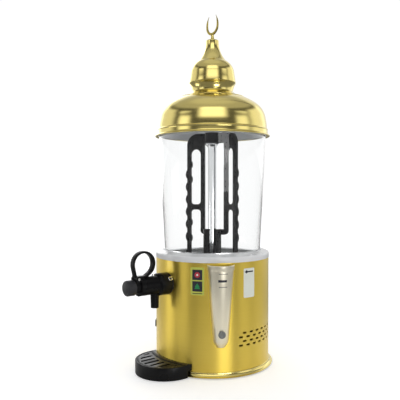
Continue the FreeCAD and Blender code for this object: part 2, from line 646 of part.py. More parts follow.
# Stirrer: two swept wings with lobed outer arms, a hub over the pipe and a sleeve round it
def wing_shape(mirror):
    """One wing as a flat plate: an outline with arcs for lobes, and a long arched window."""
    arm, gap, thick = S.arm_width.value, S.window_width.value, S.paddle_thickness.value
    half = arm / 2
    outer_in, outer_out = half + gap, half + gap + arm
    top = S.pipe_top.value + S.hub_lift.value + S.hub_height.value
    bend, foot = S.shoulder_round.value, S.paddle_foot.value
    depth, pitch = S.lobe_depth.value, S.lobe_pitch.value
    edges = []

    def line(a, b):
        edges.append(Part.LineSegment(V(*a), V(*b)).toShape())

    def arc(a, middle, b):
        edges.append(Part.Arc(V(*a), V(*middle), V(*b)).toShape())

    def lobes(x, heights, out):
        """Shallow round lobes down one edge, joined by straight stretches."""
        length = pitch * 0.36
        for height in heights:
            line(pen[0], (x, 0, height + length))
            arc((x, 0, height + length), (x + out, 0, height), (x, 0, height - length))
            pen[0] = (x, 0, height - length)

    # down the outer edge
    pen = [(-half, 0, top)]
    line(pen[0], (outer_out - bend, 0, top))
    corner = bend * (1 - math.sqrt(0.5))
    arc((outer_out - bend, 0, top), (outer_out - corner, 0, top - corner), (outer_out, 0, top - bend))
    pen[0] = (outer_out, 0, top - bend)
    heights = [S.lobe_first.value - pitch * index for index in range(int(S.lobe_count.value))]
    heights.append(heights[-1] - pitch * 1.43)
    lobes(outer_out, heights, depth)
    line(pen[0], (outer_out, 0, foot))
    line((outer_out, 0, foot), (outer_in, 0, foot))
    # up the inside of the outer arm, over the lower window, and down the inner arm
    bar_low = S.cross_bar_top.value - S.cross_bar_height.value
    round_low = gap * 0.3
    bend_low = round_low * (1 - math.sqrt(0.5))
    pen[0] = (outer_in, 0, foot)
    if mirror:
        rising = [heights[-2] - 2.5, heights[-3] + 3.0]
        length = pitch * 0.3
        for height in rising:
            line(pen[0], (outer_in, 0, height - length))
            arc((outer_in, 0, height - length), (outer_in - S.inner_lobe_depth.value, 0, height),
                (outer_in, 0, height + length))
            pen[0] = (outer_in, 0, height + length)
    line(pen[0], (outer_in, 0, bar_low - round_low))
    arc((outer_in, 0, bar_low - round_low), (outer_in - bend_low, 0, bar_low - bend_low),
        (outer_in - round_low, 0, bar_low))
    line((outer_in - round_low, 0, bar_low), (half + round_low, 0, bar_low))
    arc((half + round_low, 0, bar_low), (half + bend_low, 0, bar_low - bend_low),
        (half, 0, bar_low - round_low))
    low = S.sleeve_top.value - 1
    line((half, 0, bar_low - round_low), (half, 0, low))
    line((half, 0, low), (-half, 0, low))
    line((-half, 0, low), (-half, 0, top))
    outer = Part.Wire(Part.__sortEdges__(edges))

    # the arched window between the arms
    edges = []
    low, high = S.cross_bar_top.value, S.arch_top.value
    reach = gap / 2
    line((half, 0, low + round_low), (half, 0, high - reach))
    arc((half, 0, high - reach), (half + reach, 0, high), (outer_in, 0, high - reach))
    pen[0] = (outer_in, 0, high - reach)
    if mirror:
        length = pitch * 0.3
        for height in (S.lobe_first.value + pitch * 0.8, S.lobe_first.value - pitch * 0.4):
            line(pen[0], (outer_in, 0, height + length))
            arc((outer_in, 0, height + length), (outer_in - S.inner_lobe_depth.value, 0, height),
                (outer_in, 0, height - length))
            pen[0] = (outer_in, 0, height - length)
    line(pen[0], (outer_in, 0, low + round_low))
    arc((outer_in, 0, low + round_low), (outer_in - bend_low, 0, low + bend_low),
        (outer_in - round_low, 0, low))
    line((outer_in - round_low, 0, low), (half + round_low, 0, low))
    arc((half + round_low, 0, low), (half + bend_low, 0, low + bend_low), (half, 0, low + round_low))
    window = Part.Wire(Part.__sortEdges__(edges))
    face = Part.Face(outer).cut(Part.Face(window))
    plate = face.extrude(V(0, thick, 0))
    plate.translate(V(0, -thick / 2, 0))
    return plate


def make_stirrer():
    thick = S.paddle_thickness
    back = S.inner_arm_back
    hub_low = S.pipe_top + S.hub_lift
    top = hub_low + S.hub_height
    reach = S.inner_arm_out + S.arm_width / 2
    hub = cylinder("Hub", S.hub_radius, S.hub_height, 0, 0, hub_low)
    bridge = box("Bridge", (-reach + 0.6, back - thick / 2, hub_low), (reach - 0.6, back + thick / 2, top))
    low, corner = S.inner_arm_foot, S.yoke_round
    yoke = padded("Yoke", [
        (-reach, S.sleeve_top), (-reach, low + corner, corner), (-reach + corner, low),
        (reach - corner, low, corner), (reach, low + corner), (reach, S.sleeve_top)],
        -back - thick / 2, -back + thick / 2, "XZ_Plane")
    sleeve = cylinder("Sleeve", S.sleeve_radius, S.sleeve_top - S.paddle_foot, 0, 0, S.paddle_foot)
    half_bar = S.inner_arm_out + S.window_width + S.arm_width
    foot_bar = box("FootBar", (-half_bar + 1, -thick / 2, S.paddle_foot),
                   (half_bar - 1, thick / 2, S.paddle_foot + S.foot_bar_height))
    wings = []
    for name, side in (("RightWing", 1), ("LeftWing", -1)):
        plate = wing_shape(side < 0)
        if side < 0:
            plate = plate.mirror(V(0, 0, 0), V(1, 0, 0))
        plate.rotate(V(0, 0, 0), V(0, 0, 1), -S.wing_sweep.value * side)
        plate.translate(V(side * S.inner_arm_out.value, back.value, 0))
        wings.append(solid(name, plate))
    shape = fuse("StirrerSolid", [hub, bridge, yoke, sleeve, foot_bar] + wings)
    half = S.dog_width / 2 + S.fit_gap
    slot = S.sleeve_window / 2
    tube = S.pipe_radius + S.sleeve_gap
    tools = fuse("StirrerCuts", [
        box("DogSocket", (-half, -half, hub_low - 5), (half, half, hub_low + 2 + S.dog_height)),
        cylinder("ShaftBore", S.shaft_radius + S.fit_gap, S.hub_height + 10, 0, 0, hub_low - 5),
        cylinder("SleeveBore", tube, S.sleeve_top - S.paddle_foot + 20, 0, 0, S.paddle_foot - 10),
        box("SleeveWindow", (-slot, -S.sleeve_radius - 5, S.sleeve_ring),
            (slot, S.sleeve_radius + 5, S.sleeve_top + 0.5)),
    ])
    stirrer = cut("Stirrer", shape, tools)
    bind(stirrer, "Placement.Rotation.Angle", S.stirrer_turn)
    node("stirrer_paddle", stirrer)
    node("stirrer_cap", revolved("StirrerCap", [
        (0, top), (S.cap_radius, top), (S.cap_radius, top + S.cap_height - 1.5),
        (S.cap_radius - 1.5, top + S.cap_height), (0, top + S.cap_height)]))


# Lid: a spun dome with a rolled brim, and the liner that seats it on the bowl
def make_lid():
    low, wall = S.lid_bottom, S.lid_wall
    skirt = S.lid_radius - 0.6
    node("lid_dome", revolved("LidDome", [
        (skirt - wall - S.roll_depth, low),
        (S.lid_radius - 1.4, low, 1.4),
        (S.lid_radius, low + 1.4),
        (skirt, low + S.brim_height, 3),
        (S.lid_radius - 3.6, low + S.brim_height + 3.5),
        (S.band_radius + 1.3, low + S.band_step, 1.6),
        (S.band_radius, low + S.band_step + 2),
        (S.shoulder_radius, low + S.band_top, S.shoulder_bend),
        (S.shoulder_out, low + S.shoulder_rise, S.crown_bend),
        (S.crown_radius, low + S.crown_rise),
        (S.waist_radius, low + S.crown_rise),
        (S.waist_radius, low + S.crown_rise - wall),
        (S.crown_radius - 0.4, low + S.crown_rise - wall, -(S.crown_bend - wall)),
        (S.shoulder_out - wall * 0.7, low + S.shoulder_rise - wall * 0.7, -(S.shoulder_bend - wall)),
        (S.shoulder_radius - wall, low + S.band_top),
        (S.band_radius - wall, low + S.band_step + 2),
        (S.band_radius + 1.3 - wall, low + S.band_step - 1),
        (S.lid_radius - 3.8 - wall, low + S.brim_height + 2.6),
        (skirt - wall, low + S.brim_height),
        (skirt - wall, S.bowl_top),
        (skirt - wall - S.roll_depth, S.bowl_top)]))
    seat = S.bowl_top
    thick = S.liner_thickness
    plug = S.bowl_rim_radius - S.bowl_wall - S.liner_gap
    plate = S.liner_plate_height
    node("lid_liner", revolved("LidLiner", [
        (0, plate),
        (S.liner_plate_radius, plate),
        (plug - thick, seat - S.liner_lip + 1.2),
        (plug - thick, seat - S.liner_lip),
        (plug, seat - S.liner_lip),
        (plug, seat),
        (skirt - wall, seat),
        (skirt - wall, seat + thick),
        (plug - 1, seat + thick),
        (S.liner_plate_radius + 1, plate + thick),
        (0, plate + thick)]))


# Finial: two spun shells on a tie rod, a beaded stud and a crescent
def make_finial():
    wall = S.finial_wall
    foot = S.lid_bottom + S.crown_rise
    node("finial_base", revolved("FinialBase", [
        (S.finial_foot_radius, foot),
        (S.finial_foot_radius, foot + S.finial_foot_edge, -S.flare_bend),
        (S.waist_radius, foot + S.waist_rise, -S.waist_bend),
        (S.belly_radius, foot + S.belly_rise),
        (S.belly_radius - wall, foot + S.belly_rise, S.waist_bend + wall),
        (S.waist_radius - wall, foot + S.waist_rise, S.flare_bend + wall),
        (S.finial_foot_radius - 6, foot)]))
    seam = foot + S.belly_rise
    top = foot + S.neck_rise
    node("finial_onion", revolved("FinialOnion", [
        (S.belly_radius - 0.6, seam),
        (S.belly_radius, seam + 0.8, 320),
        (S.belly_top_radius, foot + S.belly_top_rise, S.onion_bend),
        (S.onion_radius, foot + S.onion_rise, -S.neck_bend),
        (S.neck_radius, top - 1),
        (S.neck_radius - 1, top),
        (S.rod_radius, top),
        (S.rod_radius, top - 3),
        (S.neck_radius - 2.2, top - 3, S.neck_bend + wall),
        (S.onion_radius - wall, foot + S.onion_rise, -(S.onion_bend - wall)),
        (S.belly_top_radius - wall, foot + S.belly_top_rise),
        (S.belly_radius - wall, seam)]))
    rod_low = foot - 14
    node("finial_tie_rod", fuse("TieRod", [
        cylinder("TieRodBar", S.rod_radius, top + 2 - rod_low, 0, 0, rod_low),
        cylinder("TieRodPlate", S.waist_radius + 3, 1.6, 0, 0, foot - S.lid_wall - 1.6)]))
    stud = S.stud_radius
    node("finial_stud", revolved("FinialStud", [
        (0, top + 2), (S.rod_radius, top + 2), (S.rod_radius, top), (stud + 1, top), (stud + 1, top + 1.2),
        (stud * 0.6, top + 2.2, stud * 0.55), (stud * 0.6, top + 5.2, stud * 0.5),
        (stud * 0.55, top + 7.4), (stud * 0.7, top + S.stud_height), (0, top + S.stud_height)]))
    node("crescent", crescent(top + S.stud_height))


def crescent(foot):
    """A flat crescent that opens upwards, from arcs that meet in two sharp tips."""
    out, band, slim = S.crescent_radius, S.crescent_band, S.crescent_side
    low = foot + 0.4
    middle, tip_high, tip_out = low + out, low + S.crescent_height, S.crescent_tip
    inner, deep = out - slim, out - band
    bend = (inner * inner + deep * deep) / (deep * 2)
    side = S.crescent_bend
    shape = padded("CrescentFlat", [
        (-tip_out, tip_high, side), (-out, middle, out), (0, low, out), (out, middle, side),
        (tip_out, tip_high, -side), (inner, middle, -bend), (0, low + band, -bend),
        (-inner, middle, -side)], -S.crescent_thickness / 2, S.crescent_thickness / 2, "XZ_Plane")
    heel = cylinder("CrescentHeel", S.crescent_thickness * 0.9, 2, 0, 0, foot)
    return fuse("Crescent", [shape, heel])


# Tap: body with nozzle, gasket, locknut and front cap
def make_tap():
    height = S.tap_height
    lateral = S.lever_width / 2 + S.ear_gap
    face = S.casing_radius + 1
    housing = rod("Housing", S.housing_radius, face, S.housing_end, height)
    bevel = DOC.addObject("Part::Chamfer", "HousingBevel")
    bevel.Base = housing
    DOC.recompute()
    front = min(range(len(housing.Shape.Edges)),
                key=lambda i: housing.Shape.Edges[i].BoundBox.YMax + housing.Shape.Edges[i].BoundBox.YMin)
    bevel.Edges = [(front + 1, S.housing_bevel.value, S.housing_bevel.value)]
    spigot = rod("Spigot", S.spigot_radius, S.spigot_end, face + 2, height)
    barrel = rod("Barrel", S.barrel_radius, face, S.barrel_end, height)
    neck = rod("Neck", S.neck_out_radius, face, S.neck_end, height)
    nozzle = cone("Nozzle", S.nozzle_radius - 1, S.nozzle_radius, S.nozzle_drop,
                  0, -S.nozzle_place, height - S.nozzle_drop)
    pivot = height + S.pivot_rise
    ears = []
    for side in (1, -1):
        low_x = lateral if side > 0 else -(lateral + S.ear_width)
        ears.append(cylinder("EarRound%d" % side, S.ear_radius, S.ear_width, low_x, -S.pivot_place, pivot,
                             SIDEWAYS))
        ears.append(box("EarFoot%d" % side,
                        (low_x, -(S.pivot_place + S.ear_radius), height + 6),
                        (low_x + S.ear_width, -(S.pivot_place - S.ear_radius), pivot)))
    shape = fuse("TapSolid", [bevel, spigot, barrel, neck, nozzle] + ears)
    mouth = DOC.addObject("Part::Compound", "NozzleMouth")
    mouth.Links = [box("NozzleSlant", (-S.nozzle_radius * 3, -S.nozzle_radius * 8, -S.nozzle_drop),
                       (S.nozzle_radius * 3, 5, 0))]
    place(mouth, 0, -(S.nozzle_place - S.nozzle_radius), height - S.nozzle_drop,
          FreeCAD.Rotation(V(1, 0, 0), -S.nozzle_cut.value))
    bind(mouth, "Placement.Rotation.Angle", S.nozzle_cut)
    tools = fuse("TapCuts", [
        rod("Channel", S.channel_radius, S.spigot_end - 5, S.channel_end, height),
        rod("RodBore", S.piston_radius + S.running_gap, S.channel_end - 5, S.chamber_start + 5, height),
        rod("SealSeat", S.seal_radius, S.chamber_start - S.seal_width, S.chamber_start + 1, height),
        rod("Chamber", S.chamber_radius, S.chamber_start, S.neck_end + 5, height),
        cylinder("NozzleBore", S.nozzle_bore, S.nozzle_drop + 5, 0, -S.nozzle_place,
                 height - S.nozzle_drop - 5),
        box("LeverSlot", (-lateral, -(S.neck_end - 1.5), height + 4),
            (lateral, -S.slot_start, height + S.barrel_radius + 10)),
        cylinder("PinHole", S.pin_radius, lateral * 2 + S.ear_width * 4, -(lateral + S.ear_width * 2),
                 -S.pivot_place, pivot, SIDEWAYS),
        mouth,
    ])
    node("tap_body", cut("TapBody", shape, tools))

    ring = rod("GasketRing", S.housing_radius - 0.6, S.casing_radius - 8, face, height)
    hole = rod("GasketBore", S.spigot_radius, S.casing_radius - 20, face + 5, height)
    wall = cylinder("GasketCurve", S.casing_radius, S.housing_radius * 3, 0, 0,
                    height - S.housing_radius * 1.5)
    outer_seal = cut("OuterSeal", ring, fuse("GasketCuts", [hole, wall]))
    nut_face = S.nut_place + S.nut_thickness
    inside = cylinder("PotInside", S.pot_radius - S.sheet_wall, S.nut_across * 2, 0, 0, height - S.nut_across)
    inner_ring = rod("InnerRing", S.nut_across / 2, nut_face, S.pot_radius + 5, height)
    inner_hole = rod("InnerBore", S.spigot_radius, nut_face - 5, S.pot_radius + 10, height)
    inner_seal = common("InnerSeal", cut("InnerCut", inner_ring, inner_hole), inside)
    seals = DOC.addObject("Part::Compound", "TapSeals")
    seals.Links = [outer_seal, inner_seal]
    node("tap_gaskets", seals)

    across = S.nut_across / 2
    point = across / 0.8660254
    side = point / 2
    nut = padded("Locknut", [
        (point, height), (side, height + across), (-side, height + across),
        (-point, height), (-side, height - across), (side, height - across)],
        S.nut_place, nut_face, "XZ_Plane")
    node("tap_locknut", cut("LocknutCut", nut,
                            rod("LocknutBore", S.spigot_radius, S.nut_place - 5, nut_face + 5, height)))

    end = S.neck_end + S.end_cap_length
    face, dome = S.end_cap_radius - S.end_cap_round, S.end_cap_dome
    cap = revolved("EndCap", [
        (0, S.piston_front + 1),
        (S.piston_radius + S.running_gap, S.piston_front + 1),
        (S.piston_radius + S.running_gap, S.neck_end - S.plug_length),
        (S.chamber_radius, S.neck_end - S.plug_length),
        (S.chamber_radius, S.neck_end),
        (S.end_cap_radius, S.neck_end),
        (S.end_cap_radius, end - dome - S.end_cap_round, S.end_cap_round * 1.2),
        (face, end - dome, (face * face + dome * dome) / (dome * 2)),
        (0, end)])
    place(cap, 0, 0, height, FORWARD)
    node("tap_end_cap", cap)

    length = lateral * 2 + S.ear_width * 2
    node("lever_pin", cylinder("LeverPin", S.pin_radius, length, -(lateral + S.ear_width),
                               -S.pivot_place, pivot, SIDEWAYS))


# Piston with its valve, seal and spring
def make_piston():
    height = S.tap_height
    bar = rod("PistonBar", S.piston_radius, S.spigot_end - 6, S.piston_front, height)
    collar = rod("PistonCollar", S.piston_collar, S.collar_place, S.collar_place + S.collar_length, height)
    half = S.toe_radius + S.toe_slack
    floor = height + S.toe_rise - S.toe_radius - 0.4
    notch = box("PistonNotch", (-20, -(S.pivot_place + half), floor),
                (20, -(S.pivot_place - half), height + 20))
    node("tap_piston", cut("Piston", fuse("PistonSolid", [bar, collar]), notch))
    disc = rod("ValveDisc", S.valve_radius, S.spigot_end - S.valve_thickness, S.spigot_end, height)
    node("valve_disc", cut("Valve", disc, rod("ValveBore", S.piston_radius, 50, S.spigot_end + 5, height)))
    ring = rod("SealRing", S.seal_radius, S.chamber_start - S.seal_width, S.chamber_start, height)
    node("rod_seal", cut("Seal", ring, rod("SealBore", S.piston_radius + S.running_gap,
                                           S.chamber_start - 20, S.chamber_start + 20, height)))
    start, end = S.chamber_start.value, S.collar_place.value
    wire_radius = S.spring_wire.value
    run = end - start - 2 * wire_radius - 0.2
    pitch = run / S.spring_turns.value
    helix = Part.makeHelix(pitch, run, S.spring_radius.value)
    circle = Part.Circle(V(S.spring_radius.value, 0, 0), V(0, 1, 0), wire_radius)
    shape = Part.Wire(helix.Edges).makePipeShell([Part.Wire([circle.toShape()])], True, True)
    spring = solid("Spring", shape)
    place(spring, 0, -(S.chamber_start + S.spring_wire + 0.1), height, FORWARD)
    node("tap_spring", spring)


# Lever: a finger loop on a plate, its boss on the pin and its toe in the piston
def make_lever():
    height = S.tap_height.value
    across = S.lever_width.value
    pivot_y, pivot_z = -S.pivot_place.value, height + S.pivot_rise.value
    centre_y, centre_z = -S.loop_place.value, height + S.loop_rise.value
    radius, band = S.loop_radius.value, S.loop_band.value
    plate_low = height + S.barrel_radius.value + S.heel_lift.value
    plate_high = plate_low + S.lever_plate.value
    front_foot, back_foot = -S.loop_front_foot.value, -S.loop_back_foot.value

    def tangent(foot_y, foot_z, size_of, side):
        """Where a line from the foot touches a circle of the loop, on one side."""
        dy, dz = foot_y - centre_y, foot_z - centre_z
        distance = math.hypot(dy, dz)
        turn = math.acos(size_of / distance) * side
        angle = math.atan2(dz, dy) + turn
        return V(0, centre_y + size_of * math.cos(angle), centre_z + size_of * math.sin(angle))

    def teardrop(size_of, inset, foot_z):
        front = V(0, front_foot + inset, foot_z)
        back = V(0, back_foot - inset, foot_z)
        touch_front = tangent(front.y, front.z, size_of, -1)
        touch_back = tangent(back.y, back.z, size_of, 1)
        top = V(0, centre_y, centre_z + size_of)
        return Part.Face(Part.Wire([
            Part.LineSegment(front, touch_front).toShape(),
            Part.Arc(touch_front, top, touch_back).toShape(),
            Part.LineSegment(touch_back, back).toShape(),
            Part.LineSegment(back, front).toShape()]))

    outer = teardrop(radius + band / 2, -band / 2, plate_low)
    inner = teardrop(radius - band / 2, band / 2, plate_high)
    loop = outer.cut(inner).extrude(V(across, 0, 0))
    loop.translate(V(-across / 2, 0, 0))
    plate = Part.makeBox(across, front_foot * -1 - S.heel_place.value + 2, plate_high - plate_low,
                         V(-across / 2, front_foot - 2, plate_low))
    along = V(1, 0, 0)
    boss = Part.makeCylinder(S.lever_boss.value, across, V(-across / 2, pivot_y, pivot_z), along)
    toe_z = height + S.toe_rise.value
    slim, thin = S.toe_width.value, S.toe_thickness.value
    neck = Part.makeBox(slim, thin, pivot_z - toe_z, V(-slim / 2, pivot_y - thin / 2, toe_z))
    toe = Part.makeCylinder(S.toe_radius.value, slim, V(-slim / 2, pivot_y, toe_z), along)
    hole = Part.makeCylinder(S.pin_radius.value + S.running_gap.value, across + 10,
                             V(-across / 2 - 5, pivot_y, pivot_z), along)
    shape = loop.fuse([plate, boss, neck, toe]).cut(hole).removeSplitter()
    node("tap_lever", solid("TapLever", shape))


# Filling pocket: half a cone of sheet on the casing, with a rolled rim, a duct and a drain plug
def make_pocket():
    axis_y = -S.pocket_axis
    tall = S.pocket_top - S.pocket_foot
    wall = S.pocket_wall
    point = S.pocket_point
    skin = cone("PocketSkin", S.pocket_foot_radius, S.pocket_top_radius, tall, 0, axis_y, S.pocket_foot)
    end = cone("PocketEnd", S.pocket_foot_radius - 5, S.pocket_foot_radius, point, 0, axis_y,
               S.pocket_foot - point)
    rim = cone("PocketRim", S.pocket_top_radius + S.rim_stand - 0.6, S.pocket_top_radius + S.rim_stand,
               S.rim_height, 0, axis_y, S.pocket_top - S.rim_height)
    hollow = cone("PocketHollow", S.pocket_foot_radius - wall, S.pocket_top_radius - wall, tall,
                  0, axis_y, S.pocket_foot)
    mouth = cylinder("PocketMouth", S.pocket_top_radius - wall, 5, 0, axis_y, S.pocket_top - 0.01)
    keep_out = cylinder("PocketBack", S.casing_radius, S.pocket_top * 1.5, 0, 0, 0)
    stem = rod("PlugHole", S.plug_stem + S.fit_gap, S.casing_radius, S.pocket_axis + 30, S.plug_height)
    body = cut("PocketShell", fuse("PocketSolid", [skin, end, rim]),
               fuse("PocketCuts", [hollow, mouth, keep_out, stem]))
    node("fill_pocket", turned("Pocket", [body], S.pocket_angle))

    inside = S.casing_radius - S.casing_wall - 0.4
    duct = cut("DuctCut", rod("DuctTube", S.duct_radius, S.bath_radius - 4, inside, S.duct_height),
               rod("DuctBore", S.duct_radius - 1, S.bath_radius - 20, S.casing_radius + 5, S.duct_height))
    node("fill_duct", turned("Duct", [duct], S.pocket_angle))

    slope = (S.pocket_top_radius - S.pocket_foot_radius) / tall
    face = S.pocket_axis + S.pocket_foot_radius + slope * (S.plug_height - S.pocket_foot)
    head = rod("PlugHead", S.plug_radius, face + 0.6, face + 0.6 + S.plug_head, S.plug_height)
    shank = rod("PlugShank", S.plug_stem, face - 5, face + 1, S.plug_height)
    node("drain_plug", turned("Plug", [fuse("PlugSolid", [head, shank])], S.pocket_angle))


# Controls on the left side, and the cable inlet at the back
def switch_opening():
    """Half width and half height of the switch's opening in the casing."""
    return S.switch_width / 2 - S.switch_frame, S.switch_tall / 2 - S.switch_frame


def make_switch():
    wide, tall = S.switch_width / 2, S.switch_tall / 2
    hole_wide, hole_tall = switch_opening()
    seat_wide, seat_tall = hole_wide - S.switch_wall, hole_tall - S.switch_wall
    mid, skin = S.control_height, S.casing_radius
    pivot = skin - S.rocker_pivot
    bezel = cut("SwitchBezel",
                box("SwitchFrame", (-wide, -(skin + S.switch_stand), mid - tall),
                    (wide, -(skin - 4), mid + tall)),
                cylinder("SwitchCurve", skin, tall * 6, 0, 0, mid - tall * 3))
    core = box("SwitchCore", (-hole_wide, -(skin + 0.5), mid - hole_tall),
               (hole_wide, -(skin - S.switch_depth), mid + hole_tall))
    seat = box("SwitchSeat", (-seat_wide, -(skin + 20), mid - seat_tall),
               (seat_wide, -(skin - S.switch_seat), mid + seat_tall))
    reach = hole_tall - S.pin_skin
    bore = cylinder("RockerBore", S.rocker_pin + S.running_gap, reach * 2, 0, -pivot, mid - reach)
    housing = cut("SwitchHousing", fuse("SwitchShell", [bezel, core]), fuse("SwitchCuts", [seat, bore]))
    node("switch_housing", turned("Switch", [housing], S.switch_angle))

    gap = S.rocker_gap
    half = seat_wide - gap
    face = skin + S.switch_stand
    lean = S.rocker_lean
    rocker = padded("Rocker", [
        (half - lean, -(face + 0.2)),
        (half, -(pivot + 1.2)),
        (0, -(pivot - 2.4)),
        (-half, -(pivot + 1.2)),
        (-(half - lean * 2), -(face + S.rocker_stand)),
        (0, -(face - 0.4))], mid - seat_tall + gap, mid + seat_tall - gap)
    pin = cylinder("RockerPin", S.rocker_pin, (reach - 0.1) * 2, 0, -pivot, mid - reach + 0.1)
    node("switch_rocker", turned("RockerTurned", [fuse("RockerSolid", [rocker, pin])], S.switch_angle))


def make_thermostat():
    skin, height = S.casing_radius, S.knob_height
    block = S.thermostat_size / 2
    core = common("ThermostatCore",
                  box("ThermostatBox", (-block, -(skin - S.casing_wall), height - block),
                      (block, -(skin - S.casing_wall - S.thermostat_depth), height + block)),
                  cylinder("ThermostatCurve", skin - S.casing_wall, block * 4, 0, 0, height - block * 2))
    bush = rod("ThermostatBush", S.knob_bush_radius, skin - 10, skin + 1, height)
    bore = rod("ThermostatBore", S.knob_spindle + S.running_gap, skin - 14, skin + 5, height)
    node("thermostat_body", turned("ThermostatTurned", [
        cut("ThermostatCut", fuse("ThermostatSolid", [core, bush]), bore)], S.knob_angle))

    start = skin + 1.6
    grip = rod("KnobGrip", S.knob_radius - 2, start, start + S.knob_length, S.knob_height)
    skirt = rod("KnobSkirt", S.knob_radius, start, start + 3, S.knob_height)
    spindle = rod("KnobSpindle", S.knob_spindle, skin - 12, start + 2, S.knob_height)
    ribs = []
    for index in range(18):
        angle = 2 * math.pi * index / 18
        reach = S.knob_radius - 2
        ribs.append(rod("KnobRib%d" % index, S.knob_rib / 2, start, start + S.knob_length - 1,
                        S.knob_height + reach * math.sin(angle), reach * math.cos(angle)))
    node("thermostat_knob", turned("KnobTurned", [fuse("Knob", [grip, skirt, spindle] + ribs)], S.knob_angle))


def make_gland():
    skin, height = S.casing_radius, S.gland_height
    outside = cut("GlandOutside", fuse("GlandHead", [
        cylinder("GlandFlange", S.gland_radius, 6, 0, skin - 3, height, BACKWARD),
        cylinder("GlandNose", S.gland_radius - 1.6, S.gland_length, 0, skin, height, BACKWARD)]),
        cylinder("GlandCurve", skin, S.gland_radius * 4, 0, 0, height - S.gland_radius * 2))
    thread = cylinder("GlandThread", S.gland_thread, 8, 0, skin - 7, height, BACKWARD)
    bore = cylinder("GlandBore", S.gland_bore, 60, 0, skin - 20, height, BACKWARD)
    node("cable_gland", cut("Gland", fuse("GlandSolid", [outside, thread]), bore))


# Drip tray with its lift-out grille
def tray_plan(name, inset, low, high, rear, rear_inset):
    """The tray's plan between two heights: a half round front, straight sides, a back round the casing."""
    half = S.tray_half_width - inset
    middle = S.tray_half_width - S.tray_front
    front = cylinder(name + "Front", half, size(high) - low, 0, middle, low)
    sides = box(name + "Sides", (-half, middle, low), (half, -(S.casing_radius / 2), high))
    back = cylinder(name + "Back", size(rear) + rear_inset, size(high) - low + 2, 0, 0, size(low) - 1)
    return cut(name, fuse(name + "Solid", [front, sides]), back)


def make_tray():
    low, high = S.tray_lift, S.tray_lift + S.tray_height
    step = S.ring_lift + S.ring_height + S.tray_step
    foot_back = S.casing_radius + S.ring_flare + 0.4 + S.tray_gap
    ledge = high - S.grille_inset - S.grille_thickness
    wall = S.tray_wall
    shell = fuse("TrayShell", [
        tray_plan("TrayLower", 0, low, step, foot_back, 0),
        tray_plan("TrayUpper", 0, step, high, S.casing_radius, S.tray_gap)])
    hollow = tray_plan("TrayHollow", wall + S.ledge_width, low + wall, high + 5, foot_back,
                       wall + S.ledge_width)
    recess = tray_plan("TrayRecess", wall, ledge, high + 5, foot_back, wall)
    pads = [cylinder("TrayPad%d" % index, S.tray_pad, low, x, y, 0)
            for index, (x, y) in enumerate(tray_pads())]
    node("drip_tray", fuse("Tray", [cut("TrayOpen", shell, fuse("TrayCuts", [hollow, recess]))] + pads))

    inset = wall + S.grille_gap
    top = ledge + S.grille_thickness
    plate = tray_plan("GrillePlate", inset, ledge, top, foot_back, inset)
    inside = tray_plan("GrilleField", inset + S.slot_margin, ledge - 5, top + 5, foot_back,
                       inset + S.slot_margin)
    count = int(S.slot_count.value)
    front = -(S.tray_front + 5)
    slots = [box("GrilleSlot%d" % index,
                 (S.slot_pitch * (index - (count - 1) / 2) - S.slot_width / 2, front, ledge - 6),
                 (S.slot_pitch * (index - (count - 1) / 2) + S.slot_width / 2, -S.casing_radius, top + 6))
             for index in range(count)]
    node("drip_grille", cut("Grille", plate, common("GrilleSlots", fuse("GrilleSlotSet", slots), inside)))


def tray_pads():
    """Where the tray's three pads stand on the table."""
    side = S.tray_half_width - S.tray_wall - S.tray_pad
    return [(0, -(S.tray_front - S.tray_wall - S.tray_pad)),
            (side, S.tray_half_width - S.tray_front), (-side, S.tray_half_width - S.tray_front)]


def build():
    make_base()
    make_casing()
    make_collar()
    make_vessels()
    make_bowl()
    make_drive()
    make_stirrer()
    make_lid()
    make_finial()
    make_tap()
    make_piston()
    make_lever()
    make_pocket()
    make_switch()
    make_thermostat()
    make_gland()
    make_tray()
    DOC.recompute()
    broken = [thing.Name for thing in DOC.Objects if "Invalid" in thing.State or "Error" in thing.State]
    if broken:
        raise RuntimeError("objects in error: " + ", ".join(broken))
    os.makedirs("parts", exist_ok=True)
    for name, thing in PIECES:
        shape = thing.Shape
        if shape.isNull() or not shape.isValid() or not shape.Solids:
            raise RuntimeError("bad shape: " + name)
        print("%-18s solids %2d volume %10.1f mm3  z %7.2f to %7.2f" % (
            name, len(shape.Solids), shape.Volume, shape.BoundBox.ZMin, shape.BoundBox.ZMax))
    for name, thing in PIECES:
        thing.Shape.exportStep(os.path.join("parts", name + ".step"))


build()
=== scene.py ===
"""Dressed scene of a hot chocolate dispenser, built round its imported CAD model.

Lengths in the classes are millimetres, and meshes are metres. The tap faces -Y and +Z is up.
"""

import json
import logging
import math
from dataclasses import dataclass, field
from enum import Enum

import bmesh
import bpy
import numpy as np
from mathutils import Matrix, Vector


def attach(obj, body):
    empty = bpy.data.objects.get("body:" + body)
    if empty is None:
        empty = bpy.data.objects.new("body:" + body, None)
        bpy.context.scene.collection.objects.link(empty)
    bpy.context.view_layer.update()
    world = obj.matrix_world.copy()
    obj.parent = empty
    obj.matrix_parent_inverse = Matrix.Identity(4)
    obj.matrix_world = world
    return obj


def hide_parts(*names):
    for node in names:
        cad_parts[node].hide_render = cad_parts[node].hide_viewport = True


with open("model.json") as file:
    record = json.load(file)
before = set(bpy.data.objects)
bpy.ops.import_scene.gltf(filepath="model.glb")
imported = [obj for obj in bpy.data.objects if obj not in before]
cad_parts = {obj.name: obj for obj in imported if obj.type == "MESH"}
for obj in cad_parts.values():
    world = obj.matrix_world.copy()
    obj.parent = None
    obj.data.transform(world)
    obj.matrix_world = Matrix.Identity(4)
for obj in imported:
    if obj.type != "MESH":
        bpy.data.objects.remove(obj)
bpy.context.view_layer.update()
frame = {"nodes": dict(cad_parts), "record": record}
LOG = logging.getLogger("dispenser")
MM = 0.001
Corner = tuple[float, ...]
Colour = tuple[float, float, float]
